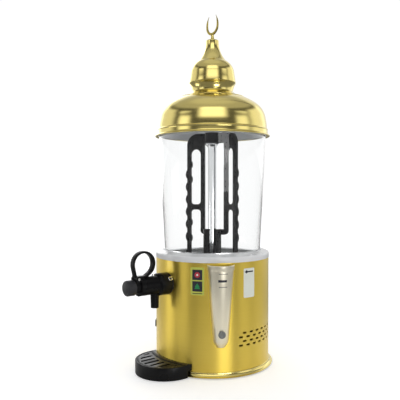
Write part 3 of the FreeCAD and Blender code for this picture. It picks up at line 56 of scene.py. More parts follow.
BOX_FACES = [(0, 1, 3, 2), (4, 6, 7, 5), (0, 4, 5, 1), (2, 3, 7, 6), (0, 2, 6, 4), (1, 5, 7, 3)]


class Slot(Enum):
    """The record's material slots that the new pieces take their finish from."""

    GOLD_BRUSHED = "gold_brushed"
    GOLD_POLISHED = "gold_polished"
    # pale gold whose colour also carries a painted reflection
    GOLD_PALE_SHEEN = "gold_pale"
    STEEL = "steel"
    MOTOR = "motor_metal"
    CLEAR = "clear_plastic"
    WHITE = "white_plastic"
    GREY = "grey_plastic"
    BLACK = "black_plastic"
    BLACK_RUBBER = "black_rubber"
    GREY_RUBBER = "grey_rubber"


# outlines and surfaces
def bent_line(corners: list[Corner], closed: bool = True, step: float = 4.0) -> np.ndarray:
    """An outline of straight edges and arcs, as points.

    An edge's point at t is a + t(b - a). An arc's is centre + radius (cos, sin) of an angle that runs
    evenly from a to b. A positive radius has its centre on the edge's left, a negative one on its right.

    Args:
        corners: (x, y), or (x, y, radius) where an arc leaves the corner.
        closed: whether the last corner is joined to the first.
        step: the arc's turn between two points, in degrees.

    Returns:
        An array of points, one row each.
    """
    runs = []
    last = len(corners) if closed else len(corners) - 1
    for index in range(last):
        a, b = np.array(corners[index][:2], float), np.array(corners[(index + 1) % len(corners)][:2], float)
        if len(corners[index]) == 2:
            runs.append(a[None])
            continue
        radius = corners[index][2]
        chord = b - a
        length = math.hypot(*chord)
        left = np.array([-chord[1], chord[0]]) / length
        sag = math.sqrt(max(radius * radius - length * length / 4, 0.0))
        centre = (a + b) / 2 + left * math.copysign(sag, radius)
        start = math.atan2(*(a - centre)[::-1])
        turn = 2 * math.asin(min(length / 2 / abs(radius), 1.0)) * math.copysign(1, radius)
        angle = start + turn * np.linspace(0, 1, max(2, int(abs(math.degrees(turn)) / step) + 2))[:-1]
        runs.append(centre + abs(radius) * np.stack([np.cos(angle), np.sin(angle)], 1))
    if not closed:
        runs.append(np.array(corners[-1][:2], float)[None])
    return np.concatenate(runs)


def softened(points: np.ndarray, reach: float, closed: bool = True, steps: int = 4,
             least: float = 18.0) -> np.ndarray:
    """Rounds the corners of an outline.

    A corner c with a and b on its edges, the reach away, becomes (1 - t)^2 a + 2 t (1 - t) c + t^2 b.

    Args:
        points: the outline, one row for each point.
        reach: how far along its edges a corner is rounded. It is at most 0.45 of the edge.
        closed: whether the last point is joined to the first.
        steps: points on each rounded corner.
        least: a corner that turns less than this many degrees stays.

    Returns:
        The rounded outline.
    """
    before, after = np.roll(points, 1, 0) - points, np.roll(points, -1, 0) - points
    first, second = np.linalg.norm(before, axis=1), np.linalg.norm(after, axis=1)
    turn = np.degrees(np.arccos(np.clip(-(before * after).sum(1) / (first * second + 1e-12), -1, 1)))
    cut = np.where(turn > least, np.minimum(reach, 0.45 * np.minimum(first, second)), 0.0)
    if not closed:
        cut[[0, -1]] = 0.0
    a = points + before / (first + 1e-12)[:, None] * cut[:, None]
    b = points + after / (second + 1e-12)[:, None] * cut[:, None]
    t = np.linspace(0, 1, steps)[None, :, None]
    curve = (1 - t) ** 2 * a[:, None] + 2 * t * (1 - t) * points[:, None] + t * t * b[:, None]
    curve = curve.reshape(-1, points.shape[1])
    keep = np.linalg.norm(curve - np.roll(curve, 1, 0), axis=1) > 1e-6
    return curve[keep]


def lattice(rows: int, columns: int, wrap_rows: bool, wrap_columns: bool) -> np.ndarray:
    """The quads of a grid: (i, j), (i, j + 1), (i + 1, j + 1), (i + 1, j).

    Args:
        rows: points along the first parameter.
        columns: points along the second.
        wrap_rows: whether the last row is joined to the first.
        wrap_columns: whether the last column is joined to the first.

    Returns:
        An array of four indices for each face.
    """
    i = np.arange(rows if wrap_rows else rows - 1)[:, None]
    j = np.arange(columns if wrap_columns else columns - 1)[None]
    k, m = (i + 1) % rows, (j + 1) % columns
    quads = [i * columns + j, i * columns + m, k * columns + m, k * columns + j]
    return np.stack([np.broadcast_to(q, (i.shape[0], j.shape[1])) for q in quads], -1).reshape(-1, 4)


def turned_points(profile: np.ndarray, segments: int) -> np.ndarray:
    """Points of a shape turned on +Z: (r cos a, r sin a, z) for each profile point and each angle a.

    Args:
        profile: (r, z), one row for each point.
        segments: angles round the turn.

    Returns:
        An array of profile points by segments.
    """
    angle = np.linspace(0, 2 * math.pi, segments, endpoint=False)
    r, z = profile[:, :1], profile[:, 1:]
    return np.stack([r * np.cos(angle), r * np.sin(angle), z + 0 * angle], -1)


def aim_forward(points: np.ndarray, height: float) -> np.ndarray:
    """A shape turned on +Z is laid along the tap: (x, y, z) goes to (x, -z, y + height)."""
    return np.stack([points[..., 0], -points[..., 2], points[..., 1] + height], -1)


def round_casing(points: np.ndarray, angle: float) -> np.ndarray:
    """Points are turned about +Z: (x, y) goes to (x cos a - y sin a, x sin a + y cos a).

    Args:
        points: any array whose last axis is x, y, z, with the front at -Y.
        angle: the turn in degrees.

    Returns:
        The turned points.
    """
    c, s = math.cos(math.radians(angle)), math.sin(math.radians(angle))
    x, y = points[..., 0], points[..., 1]
    return np.stack([x * c - y * s, x * s + y * c, points[..., 2]], -1)


def new_mesh(name: str, points: np.ndarray, faces: list | np.ndarray, crease: float = 30.0,
             weld: bool = True) -> bpy.types.Object:
    """Makes an object from points in millimetres, with doubles merged, faces outwards and creases kept sharp.

    Args:
        name: the piece's name.
        points: any array whose last axis is x, y, z.
        faces: the faces' indices.
        crease: edges sharper than this many degrees stay sharp.
        weld: whether points that coincide are merged and the faces turned outwards.

    Returns:
        The new object, at the origin.
    """
    mesh = bpy.data.meshes.new(name)
    mesh.from_pydata((points.reshape(-1, 3) * MM).tolist(), [], [list(map(int, f)) for f in faces])
    if weld:
        work = bmesh.new()
        work.from_mesh(mesh)
        bmesh.ops.remove_doubles(work, verts=work.verts, dist=2e-6)
        bmesh.ops.dissolve_degenerate(work, edges=work.edges, dist=1e-7)
        bmesh.ops.recalc_face_normals(work, faces=work.faces)
        work.to_mesh(mesh)
        work.free()
    mesh.polygons.foreach_set("use_smooth", np.ones(len(mesh.polygons), bool))
    mesh.set_sharp_from_angle(angle=math.radians(crease))
    piece = bpy.data.objects.new(name, mesh)
    bpy.context.scene.collection.objects.link(piece)
    return piece


def lathe(name: str, profile: np.ndarray, segments: int = 160, forward: float | None = None,
          crease: float = 30.0) -> bpy.types.Object:
    """A closed profile in (radius, height) turned about +Z, or about the tap's axis at a height.

    Args:
        name: the piece's name.
        profile: the closed outline, in millimetres.
        segments: points round the turn.
        forward: the height of the tap's axis, where the shape lies along it.
        crease: edges sharper than this many degrees stay sharp.

    Returns:
        The new object.
    """
    points = turned_points(profile, segments)
    if forward is not None:
        points = aim_forward(points, forward)
    return new_mesh(name, points, lattice(len(profile), segments, True, True), crease)


def welded_copy(node: str, name: str, crease: float = 28.0) -> bpy.types.Object:
    """A copy of a CAD node's triangles, merged and shaded smooth between creases.

    Args:
        node: the CAD node.
        name: the new piece's name.
        crease: edges sharper than this many degrees stay sharp.

    Returns:
        The new object.
    """
    work = bmesh.new()
    work.from_mesh(frame["nodes"][node].data)
    bmesh.ops.remove_doubles(work, verts=work.verts, dist=1e-6)
    mesh = bpy.data.meshes.new(name)
    work.to_mesh(mesh)
    work.free()
    mesh.materials.clear()
    mesh.polygons.foreach_set("use_smooth", np.ones(len(mesh.polygons), bool))
    mesh.set_sharp_from_angle(angle=math.radians(crease))
    piece = bpy.data.objects.new(name, mesh)
    bpy.context.scene.collection.objects.link(piece)
    return piece


def eased_copy(node: str, name: str, width: float, crease: float = 30.0,
               cutter: bpy.types.Object | None = None) -> bpy.types.Object:
    """A merged copy of a CAD node, its flat faces whole again and its sharp edges rounded by a modifier.

    Args:
        node: the CAD node.
        name: the new piece's name.
        width: the bevel's width in millimetres.
        crease: edges sharper than this many degrees are rounded.
        cutter: a closed block that is taken out of it, and goes.

    Returns:
        The new object.
    """
    piece = welded_copy(node, name, crease)
    if cutter:
        opening = piece.modifiers.new("Opening", "BOOLEAN")
        opening.object, opening.operation, opening.solver = cutter, "DIFFERENCE", "EXACT"
        bpy.context.view_layer.update()
        shape = bpy.data.meshes.new_from_object(piece.evaluated_get(bpy.context.evaluated_depsgraph_get()))
        piece.modifiers.clear()
        piece.data = shape
        bpy.data.objects.remove(cutter)
    work = bmesh.new()
    work.from_mesh(piece.data)
    bmesh.ops.dissolve_limit(work, angle_limit=math.radians(0.6), verts=work.verts, edges=work.edges,
                             delimit={"NORMAL"})
    work.to_mesh(piece.data)
    work.free()
    piece.data.polygons.foreach_set("use_smooth", np.ones(len(piece.data.polygons), bool))
    piece.data.set_sharp_from_angle(angle=math.radians(180))
    ease = piece.modifiers.new("Bevel", "BEVEL")
    ease.width, ease.segments = width * MM, 2
    ease.limit_method, ease.angle_limit = "ANGLE", math.radians(crease)
    ease.use_clamp_overlap, ease.harden_normals = True, True
    return piece


def ring_normals(piece: bpy.types.Object, least: float = 0.985) -> None:
    """Corners of faces that look straight out from the casing's axis, or in, get the exact radial normal.

    Args:
        piece: a sheet tube about +Z.
        least: the least cosine between such a face's normal and the radius.
    """
    mesh = piece.data
    count = len(mesh.loops)
    own, corner = np.empty(count * 3, np.float32), np.empty(count, np.int32)
    mesh.loops.foreach_get("vertex_index", corner)
    mesh.corner_normals.foreach_get("vector", own)
    place = np.empty(len(mesh.vertices) * 3, np.float32)
    mesh.vertices.foreach_get("co", place)
    flat = np.empty(len(mesh.polygons) * 3, np.float32)
    mesh.polygons.foreach_get("normal", flat)
    sides = np.empty(len(mesh.polygons), np.int32)
    mesh.polygons.foreach_get("loop_total", sides)
    out = place.reshape(-1, 3)[corner] * [1, 1, 0]
    out /= np.linalg.norm(out, axis=1, keepdims=True) + 1e-9
    face = np.repeat(flat.reshape(-1, 3), sides, 0)
    facing = (face * out).sum(1)
    exact = np.where((np.abs(facing) > least)[:, None], out * np.sign(facing)[:, None], own.reshape(-1, 3))
    mesh.normals_split_custom_set(exact.tolist())


def carried(path: np.ndarray, side: np.ndarray, up: np.ndarray, section: np.ndarray,
            wide: np.ndarray | float = 1.0, tall: np.ndarray | float = 1.0) -> np.ndarray:
    """A closed section carried along a path: point = path + u wide side + v tall up.

    Args:
        path: the path's points, n rows.
        side: the section's first direction at each point, n rows or one.
        up: its second direction, n rows or one.
        section: (u, v) of the section, m rows.
        wide: scale of u at each path point.
        tall: scale of v at each path point.

    Returns:
        An array of n by m points.
    """
    u, v = section[None, :, :1], section[None, :, 1:]
    wide, tall = np.reshape(wide, (-1, 1, 1)), np.reshape(tall, (-1, 1, 1))
    return path[:, None] + u * wide * np.broadcast_to(side, path.shape)[:, None] \
        + v * tall * np.broadcast_to(up, path.shape)[:, None]


def tube_faces(rows: int, columns: int, loop: bool) -> list:
    """The quads of a carried section, with a face over each end where the path isn't a loop.

    Args:
        rows: points along the path.
        columns: points round the section.
        loop: whether the path's end is joined to its start.

    Returns:
        The faces' indices.
    """
    faces = lattice(rows, columns, loop, True).tolist()
    if not loop:
        faces.append(list(range(columns))[::-1])
        faces.append([(rows - 1) * columns + k for k in range(columns)])
    return faces


def rounded_box(name: str, low: Corner, high: Corner, bevel: float, crease: float = 40.0) -> bpy.types.Object:
    """A box with rounded edges: its middle lies inset by the bevel, and a quarter circle carries it out.

    Args:
        name: the piece's name.
        low: the lowest corner.
        high: the highest corner.
        bevel: the edges' radius.
        crease: edges sharper than this many degrees stay sharp.

    Returns:
        The new object.
    """
    corners = np.array([[x, y, z] for x in (low[0], high[0]) for y in (low[1], high[1])
                        for z in (low[2], high[2])], float)
    piece = new_mesh(name, corners, BOX_FACES, crease)
    work = bmesh.new()
    work.from_mesh(piece.data)
    bmesh.ops.bevel(work, geom=list(work.edges), offset=bevel * MM, segments=3, profile=0.5, affect="EDGES")
    work.to_mesh(piece.data)
    work.free()
    piece.data.polygons.foreach_set("use_smooth", np.ones(len(piece.data.polygons), bool))
    piece.data.set_sharp_from_angle(angle=math.radians(crease))
    return piece


def joined(name: str, pieces: list[bpy.types.Object]) -> bpy.types.Object:
    """Pieces of one moulding become one object with one mesh.

    Args:
        name: the new piece's name.
        pieces: the objects, which go.

    Returns:
        The joined object.
    """
    work = bmesh.new()
    for piece in pieces:
        work.from_mesh(piece.data)
        bpy.data.objects.remove(piece)
    mesh = bpy.data.meshes.new(name)
    work.to_mesh(mesh)
    work.free()
    mesh.polygons.foreach_set("use_smooth", np.ones(len(mesh.polygons), bool))
    mesh.set_sharp_from_angle(angle=math.radians(35))
    result = bpy.data.objects.new(name, mesh)
    bpy.context.scene.collection.objects.link(result)
    return result


# effects shared by the finishes
def effect_group(name: str, inputs: dict[str, float],
                 outputs: list[str]) -> tuple[bpy.types.NodeTree, bpy.types.Node, bpy.types.Node]:
    """Starts a node group with number inputs and number outputs.

    Args:
        name: the group's name.
        inputs: each input's name and first value.
        outputs: the outputs' names.

    Returns:
        The tree, its input node and its output node.
    """
    tree = bpy.data.node_groups.new(name, "ShaderNodeTree")
    for label, value in inputs.items():
        socket = tree.interface.new_socket(label, in_out="INPUT", socket_type="NodeSocketFloat")
        socket.default_value = value
    for label in outputs:
        tree.interface.new_socket(label, in_out="OUTPUT", socket_type="NodeSocketFloat")
    return tree, tree.nodes.new("NodeGroupInput"), tree.nodes.new("NodeGroupOutput")


def add(tree: bpy.types.NodeTree, kind: str, **values: object) -> bpy.types.Node:
    """Adds a node and sets its properties and inputs, where an input's name has underscores for spaces.

    Args:
        tree: the tree.
        kind: the node's type.
        values: properties of the node, or values or sockets for its inputs.

    Returns:
        The node.
    """
    node = tree.nodes.new(kind)
    for key, value in values.items():
        if not key.startswith("in_") and hasattr(node, key):
            setattr(node, key, value)
            continue
        key = key.removeprefix("in_")
        socket = node.inputs[int(key)] if key.isdigit() else node.inputs[key.replace("_", " ")]
        if isinstance(value, bpy.types.NodeSocket):
            tree.links.new(value, socket)
        else:
            socket.default_value = value
    return node


def spun_grain() -> bpy.types.NodeTree:
    """Fine lines that a polishing wheel leaves round a turned sheet.

    The noise is read at (x drift, y drift, z scale), so it changes fast in z and slowly in x and y.

    Returns:
        The group, with Lines and Clouds between 0 and 1.
    """
    drift = 7.0
    tree, source, result = effect_group("SpunGrain", {"Line Scale": 700.0, "Cloud Scale": 9.0},
                                        ["Lines", "Clouds"])
    place = add(tree, "ShaderNodeTexCoord").outputs["Object"]
    parts = add(tree, "ShaderNodeSeparateXYZ", in_Vector=place).outputs
    tall = add(tree, "ShaderNodeMath", operation="MULTIPLY", in_0=parts["Z"],
               in_1=source.outputs["Line Scale"]).outputs[0]
    slow_x = add(tree, "ShaderNodeMath", operation="MULTIPLY", in_0=parts["X"], in_1=drift).outputs[0]
    slow_y = add(tree, "ShaderNodeMath", operation="MULTIPLY", in_0=parts["Y"], in_1=drift).outputs[0]
    stretched = add(tree, "ShaderNodeCombineXYZ", in_X=slow_x, in_Y=slow_y, in_Z=tall).outputs[0]
    lines = add(tree, "ShaderNodeTexNoise", in_Vector=stretched, in_Scale=1.0, in_Detail=4.0,
                in_Roughness=0.6)
    clouds = add(tree, "ShaderNodeTexNoise", in_Vector=place, in_Scale=source.outputs["Cloud Scale"],
                 in_Detail=3.0)
    tree.links.new(lines.outputs["Fac"], result.inputs["Lines"])
    tree.links.new(clouds.outputs["Fac"], result.inputs["Clouds"])
    return tree


def moulded_skin() -> bpy.types.NodeTree:
    """The fine spark grain of a moulded part, with slow patches where hands have polished it.

    Returns:
        The group, with Grain and Patches between 0 and 1.
    """
    tree, source, result = effect_group("MouldedSkin", {"Grain Scale": 2400.0, "Patch Scale": 30.0},
                                        ["Grain", "Patches"])
    place = add(tree, "ShaderNodeTexCoord").outputs["Object"]
    grain = add(tree, "ShaderNodeTexNoise", in_Vector=place, in_Scale=source.outputs["Grain Scale"],
                in_Detail=2.0)
    patches = add(tree, "ShaderNodeTexNoise", in_Vector=place, in_Scale=source.outputs["Patch Scale"],
                  in_Detail=3.0)
    tree.links.new(grain.outputs["Fac"], result.inputs["Grain"])
    tree.links.new(patches.outputs["Fac"], result.inputs["Patches"])
    return tree


def painted_edge_highlight() -> bpy.types.NodeTree:
    """How much an edge takes the painted highlight: the geometry's pointiness, stretched to between 0 and 1.

    Returns:
        The group, with one output between 0 and 1: how strongly an edge is painted lighter as a highlight.
    """
    tree, source, result = effect_group("PaintedEdgeHighlight", {"From": 0.52, "To": 0.62}, ["Wear"])
    edge = add(tree, "ShaderNodeNewGeometry").outputs["Pointiness"]
    highlight_weight = add(tree, "ShaderNodeMapRange", in_Value=edge, in_2=source.outputs["To"])
    tree.links.new(source.outputs["From"], highlight_weight.inputs["From Min"])
    tree.links.new(highlight_weight.outputs[0], result.inputs["Wear"])
    return tree


class Effects:
    """The shared effect groups, built once."""

    def __init__(self) -> None:
        """Builds the groups."""
        self.spun = spun_grain()
        self.skin = moulded_skin()
        # the group that paints a highlight on pointed edges
        self.edges = painted_edge_highlight()

    def put(self, tree: bpy.types.NodeTree, group: bpy.types.NodeTree, **values: float) -> bpy.types.Node:
        """Places a group in a material, with its own values.

        Args:
            tree: the material's nodes.
            group: the effect.
            values: the group's inputs, with underscores for spaces.

        Returns:
            The group's node.
        """
        node = tree.nodes.new("ShaderNodeGroup")
        node.node_tree = group
        for key, value in values.items():
            node.inputs[key.replace("_", " ")].default_value = value
        return node


EFFECTS = Effects()


def start_material(name: str) -> tuple[bpy.types.Material, bpy.types.NodeTree, bpy.types.Node]:
    """A new material with its shader.

    Args:
        name: the material's name.

    Returns:
        The material, its tree and its Principled shader.
    """
    material = bpy.data.materials.new(name)
    material.use_nodes = True
    return material, material.node_tree, material.node_tree.nodes["Principled BSDF"]


def tone(tree: bpy.types.NodeTree, mask: bpy.types.NodeSocket, low: Colour,
         high: Colour) -> bpy.types.NodeSocket:
    """A colour that runs between two by a mask."""
    return add(tree, "ShaderNodeMix", data_type="RGBA", in_0=mask, in_6=(*low, 1), in_7=(*high, 1)).outputs[2]


def spread(tree: bpy.types.NodeTree, mask: bpy.types.NodeSocket, low: float,
           high: float) -> bpy.types.NodeSocket:
    """A number that runs between two as the mask runs from 0.3 to 0.7."""
    return add(tree, "ShaderNodeMapRange", in_Value=mask, in_1=0.3, in_2=0.7, in_3=low, in_4=high).outputs[0]


def relief(tree: bpy.types.NodeTree, height: bpy.types.NodeSocket, shader: bpy.types.Node, strength: float,
           distance: float) -> None:
    """Feeds a height to the shader's normal through a bump.

    Args:
        tree: the material's nodes.
        height: the height socket.
        shader: the Principled shader.
        strength: the bump's strength.
        distance: its depth in metres.
    """
    bump = add(tree, "ShaderNodeBump", in_Strength=strength, in_Distance=distance, in_Height=height)
    tree.links.new(bump.outputs[0], shader.inputs["Normal"])


@dataclass(frozen=True)
class SpunMetal:
    """Sheet metal that was spun or rolled and polished, with faint lines round it."""

    name: str
    low: Colour
    high: Colour
    smooth: float
    rough: float
    lines: float = 0.05
    line_scale: float = 700.0
    stretch: float = 0.0
    coat: float = 0.0
    cloud_scale: float = 11.0
    line_depth: float = 0.00004
    coat_roughness: float = 0.08
    stretch_turn: float = 0.25

    def material(self) -> bpy.types.Material:
        """Builds the finish: colour by slow clouds, roughness and a fine bump by the lines."""
        made, tree, shader = start_material(self.name)
        spun = EFFECTS.put(tree, EFFECTS.spun, Line_Scale=self.line_scale,
                           Cloud_Scale=self.cloud_scale)
        lines, clouds = spun.outputs["Lines"], spun.outputs["Clouds"]
        mask = add(tree, "ShaderNodeMix", data_type="FLOAT", in_0=0.5, in_2=lines, in_3=clouds).outputs[0]
        tree.links.new(tone(tree, mask, self.low, self.high), shader.inputs["Base Color"])
        tree.links.new(spread(tree, mask, self.smooth, self.rough), shader.inputs["Roughness"])
        relief(tree, lines, shader, self.lines, self.line_depth)
        shader.inputs["Metallic"].default_value = 1.0
        shader.inputs["Coat Weight"].default_value = self.coat
        shader.inputs["Coat Roughness"].default_value = self.coat_roughness
        if self.stretch:
            shader.inputs["Anisotropic"].default_value = self.stretch
            shader.inputs["Anisotropic Rotation"].default_value = self.stretch_turn
            tangent = add(tree, "ShaderNodeTangent", direction_type="RADIAL", axis="Z")
            tree.links.new(tangent.outputs[0], shader.inputs["Tangent"])
        return made


@dataclass(frozen=True)
class Moulding:
    """A moulded plastic or rubber part, with a fine grain and a painted highlight that makes its pointed
    edges lighter.
    """

    name: str
    low: Colour
    high: Colour
    smooth: float
    rough: float
    grain: float = 0.08
    # edge: the colour painted on pointed edges as a highlight
    edge: Colour = (0.09, 0.09, 0.09)
    specular: float = 0.5
    grain_scale: float = 2400.0
    grain_depth: float = 0.00003
    patch_scale: float = 26.0
    # how much of the painted edge highlight is mixed into the colour
    highlight_weight: float = 0.22

    def material(self) -> bpy.types.Material:
        """Builds the finish: patches change the colour and gloss, and pointed edges are painted paler as a
        highlight.
        """
        made, tree, shader = start_material(self.name)
        skin = EFFECTS.put(tree, EFFECTS.skin, Grain_Scale=self.grain_scale, Patch_Scale=self.patch_scale)
        # edges is the mask of the painted edge highlight, and rim below is that painted highlight mixed into
        # the colour
        edges = EFFECTS.put(tree, EFFECTS.edges)
        body = tone(tree, skin.outputs["Patches"], self.low, self.high)
        rim = add(tree, "ShaderNodeMath", operation="MULTIPLY", in_0=edges.outputs["Wear"], in_1=self.highlight_weight)
        colour = add(tree, "ShaderNodeMix", data_type="RGBA", in_0=rim.outputs[0], in_6=body,
                     in_7=(*self.edge, 1))
        tree.links.new(colour.outputs[2], shader.inputs["Base Color"])
        rough = spread(tree, skin.outputs["Patches"], self.smooth, self.rough)
        tree.links.new(rough, shader.inputs["Roughness"])
        relief(tree, skin.outputs["Grain"], shader, self.grain, self.grain_depth)
        shader.inputs["Specular IOR Level"].default_value = self.specular
        return made


@dataclass(frozen=True)
class ClearPlastic:
    """Clear acrylic, with a trace of haze where it has been wiped."""

    name: str
    ior: float = 1.28
    haze: float = 0.03
    grain_scale: float = 300.0
    patch_scale: float = 14.0

    def material(self) -> bpy.types.Material:
        """Builds the finish: full transmission, and a roughness that clouds change a little."""
        made, tree, shader = start_material(self.name)
        skin = EFFECTS.put(tree, EFFECTS.skin, Grain_Scale=self.grain_scale, Patch_Scale=self.patch_scale)
        tree.links.new(spread(tree, skin.outputs["Patches"], 0.0, self.haze), shader.inputs["Roughness"])
        tree.links.new(tone(tree, skin.outputs["Patches"], (0.97, 0.98, 0.98), (1, 1, 1)),
                       shader.inputs["Base Color"])
        shader.inputs["IOR"].default_value = self.ior
        shader.inputs["Transmission Weight"].default_value = 1.0
        return made


class Finishes:
    """Every finish, made once and found by its slot."""

    def __init__(self) -> None:
        """Makes the materials."""
        # in each Moulding, the colour after the grain is painted on pointed edges as a highlight
        finishes = {
            Slot.GOLD_BRUSHED: SpunMetal("gold brushed", (0.78, 0.575, 0.085), (0.9, 0.68, 0.125), 0.36, 0.44,
                                         0.16, 900.0, 0.85, 0.3),
            Slot.GOLD_POLISHED: SpunMetal("gold polished", (0.68, 0.56, 0.18), (0.76, 0.64, 0.24), 0.14, 0.2,
                                          0.05, 500.0),
            # partly the pocket's own paler gold, partly a painted reflection: the colour is lifted near white
            Slot.GOLD_PALE_SHEEN: SpunMetal("gold pale with painted sheen", (0.96, 0.88, 0.68), (1.0, 0.96, 0.8), 0.3, 0.4, 0.08,
                                      700.0),
            Slot.STEEL: SpunMetal("steel", (0.84, 0.85, 0.86), (0.93, 0.94, 0.95), 0.2, 0.3, 0.08, 800.0),
            Slot.MOTOR: SpunMetal("motor metal", (0.09, 0.095, 0.1), (0.13, 0.135, 0.14), 0.4, 0.5, 0.05,
                                  300.0),
            Slot.CLEAR: ClearPlastic("clear acrylic"),
            Slot.WHITE: Moulding("white nylon", (0.75, 0.75, 0.73), (0.84, 0.84, 0.82), 0.3, 0.45, 0.04,
                                 (0.88, 0.88, 0.86)),
            Slot.GREY: Moulding("grey liner", (0.34, 0.35, 0.36), (0.42, 0.43, 0.44), 0.32, 0.45, 0.05,
                                (0.5, 0.5, 0.5)),
            Slot.BLACK: Moulding("black plastic", (0.004, 0.004, 0.0045), (0.008, 0.008, 0.0085), 0.24, 0.36,
                                 0.08, (0.022, 0.022, 0.022), 0.12),
            Slot.BLACK_RUBBER: Moulding("black rubber", (0.012, 0.012, 0.012), (0.02, 0.02, 0.02), 0.6, 0.8,
                                        0.2, (0.04, 0.04, 0.04), 0.3),
            Slot.GREY_RUBBER: Moulding("grey rubber", (0.42, 0.43, 0.43), (0.52, 0.53, 0.53), 0.45, 0.6, 0.1,
                                       (0.6, 0.6, 0.6), 0.3),
        }
        self.by_slot = {slot: finish.material() for slot, finish in finishes.items()}

    def dress_frame(self) -> None:
        """Gives every CAD node the finish of its own slot in the record."""
        for part in frame["record"]["subparts"]:
            node = frame["nodes"][part["node"]]
            node.data.materials.clear()
            node.data.materials.append(self.by_slot[Slot(part["material_slot"])])
            node.data.set_sharp_from_angle(angle=math.radians(30))


FINISHES = Finishes()
# in each Moulding, the colour after the grain is painted on pointed edges as a highlight
TRIM_FINISHES = {
    "lime": Moulding("sticker lime", (0.46, 0.5, 0.06), (0.56, 0.6, 0.1), 0.35, 0.5, 0.03, (0.6, 0.62, 0.2)),
    "paper": Moulding("sticker white", (0.72, 0.76, 0.68), (0.8, 0.82, 0.75), 0.4, 0.5, 0.03,
                      (0.8, 0.8, 0.75)),
    "ink": Moulding("printing black", (0.012, 0.012, 0.02), (0.03, 0.03, 0.04), 0.4, 0.5, 0.03,
                    (0.05, 0.05, 0.06)),
    "red": Moulding("printing red", (0.4, 0.02, 0.04), (0.5, 0.035, 0.06), 0.4, 0.5, 0.03, (0.5, 0.1, 0.1)),
    "green": Moulding("printing green", (0.01, 0.2, 0.06), (0.02, 0.28, 0.09), 0.4, 0.5, 0.03,
                      (0.1, 0.3, 0.1)),
    "cap": Moulding("cap charcoal", (0.018, 0.018, 0.021), (0.028, 0.028, 0.032), 0.4, 0.52, 0.12,
                    (0.06, 0.06, 0.06), 0.35),
    "rim": Moulding("silver rim", (0.74, 0.75, 0.76), (0.82, 0.83, 0.84), 0.2, 0.3, 0.03, (0.9, 0.9, 0.9),
                    0.6),
    "pipe": SpunMetal("pipe steel", (0.6, 0.61, 0.62), (0.72, 0.73, 0.74), 0.1, 0.16, 0.06, 800.0),
    "horn": SpunMetal("gold crescent", (0.36, 0.28, 0.06), (0.46, 0.37, 0.1), 0.22, 0.32),
    "plug": Moulding("plug grey", (0.13, 0.14, 0.13), (0.2, 0.21, 0.2), 0.3, 0.4, 0.06, (0.3, 0.3, 0.3)),
}
TRIM = {name: finish.material() for name, finish in TRIM_FINISHES.items()}


def plug_reach(way: Corner) -> tuple[float, float]:
    """How far the drain plug reaches along its way.

    Args:
        way: the direction, x and y.

    Returns:
        The nearest and farthest distance from the casing's axis, in millimetres.
    """
    mesh = frame["nodes"]["drain_plug"].data
    place = np.empty(len(mesh.vertices) * 3, np.float32)
    mesh.vertices.foreach_get("co", place)
    along = place.reshape(-1, 3)[:, :2] @ np.array(way) / MM
    return float(along.min()), float(along.max())


def dress(piece: bpy.types.Object, slot: Slot, body: str, *nodes: str,
          material: bpy.types.Material | None = None) -> bpy.types.Object:
    """Finishes a piece: its material, the body that it rides on, and the CAD nodes that it stands for.

    Args:
        piece: the new piece.
        slot: the record's slot that it takes its finish from.
        body: the CAD body.
        nodes: the CAD nodes that it replaces.
        material: its material, where it isn't the slot's own.

    Returns:
        The piece.
    """
    piece.data.materials.clear()
    piece.data.materials.append(material or FINISHES.by_slot[slot])
    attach(piece, body)
    if nodes:
        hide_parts(*nodes)
    LOG.info("%s on %s, %d faces", piece.name, body, len(piece.data.polygons))
    return piece


# casing
@dataclass
class Casing:
    """The gold tube with its foot ring and collar."""

    radius: float = 100.0
    foot_flare: float = 6.4
    foot_low: float = 2.0
    foot_high: float = 10.0
    collar_low: float = 186.6
    collar_high: float = 196.5

    def foot_ring(self) -> bpy.types.Object:
        """The flared ring at the foot: a concave quarter between a thin edge and the tube."""
        edge, skin = self.radius + self.foot_flare, self.radius
        profile = bent_line([
            (skin - 4, self.foot_low), (edge, self.foot_low), (edge + 0.4, self.foot_low + 1.2, -6.4),
            (skin + 1.2, self.foot_high - 0.8), (skin, self.foot_high), (skin, 4), (skin - 4, 4)])
        return lathe("foot_ring", softened(profile, 0.5), 200)

    def tube(self) -> bpy.types.Object:
        """The casing's sheet, with its vents and ports as the CAD has them and exact radial normals."""
        piece = welded_copy("body_casing", "casing_tube")
        ring_normals(piece)
        return piece

    def collar(self) -> bpy.types.Object:
        """The bright collar that covers the tube's top edge and slopes up to the bowl."""
        skin, low, high = self.radius + 0.5, self.collar_low, self.collar_high
        profile = bent_line([
            (skin - 1.5, low), (skin, low), (skin, high - 3, 3), (skin - 3, high), (88.5, high + 3, 2),
            (86.5, high + 2), (86.5, high - 0.5), (88.5, high + 1.5), (skin - 4, high - 1.5),
            (skin - 1.5, high - 4.5)])
        return lathe("collar_ring", softened(profile, 0.4), 200)

    def build(self) -> None:
        """Builds and dresses the casing's pieces."""
        dress(self.foot_ring(), Slot.GOLD_POLISHED, "base", "base_ring")
        dress(self.tube(), Slot.GOLD_BRUSHED, "base", "body_casing")
        dress(self.collar(), Slot.STEEL, "base", "top_collar", material=TRIM["rim"])


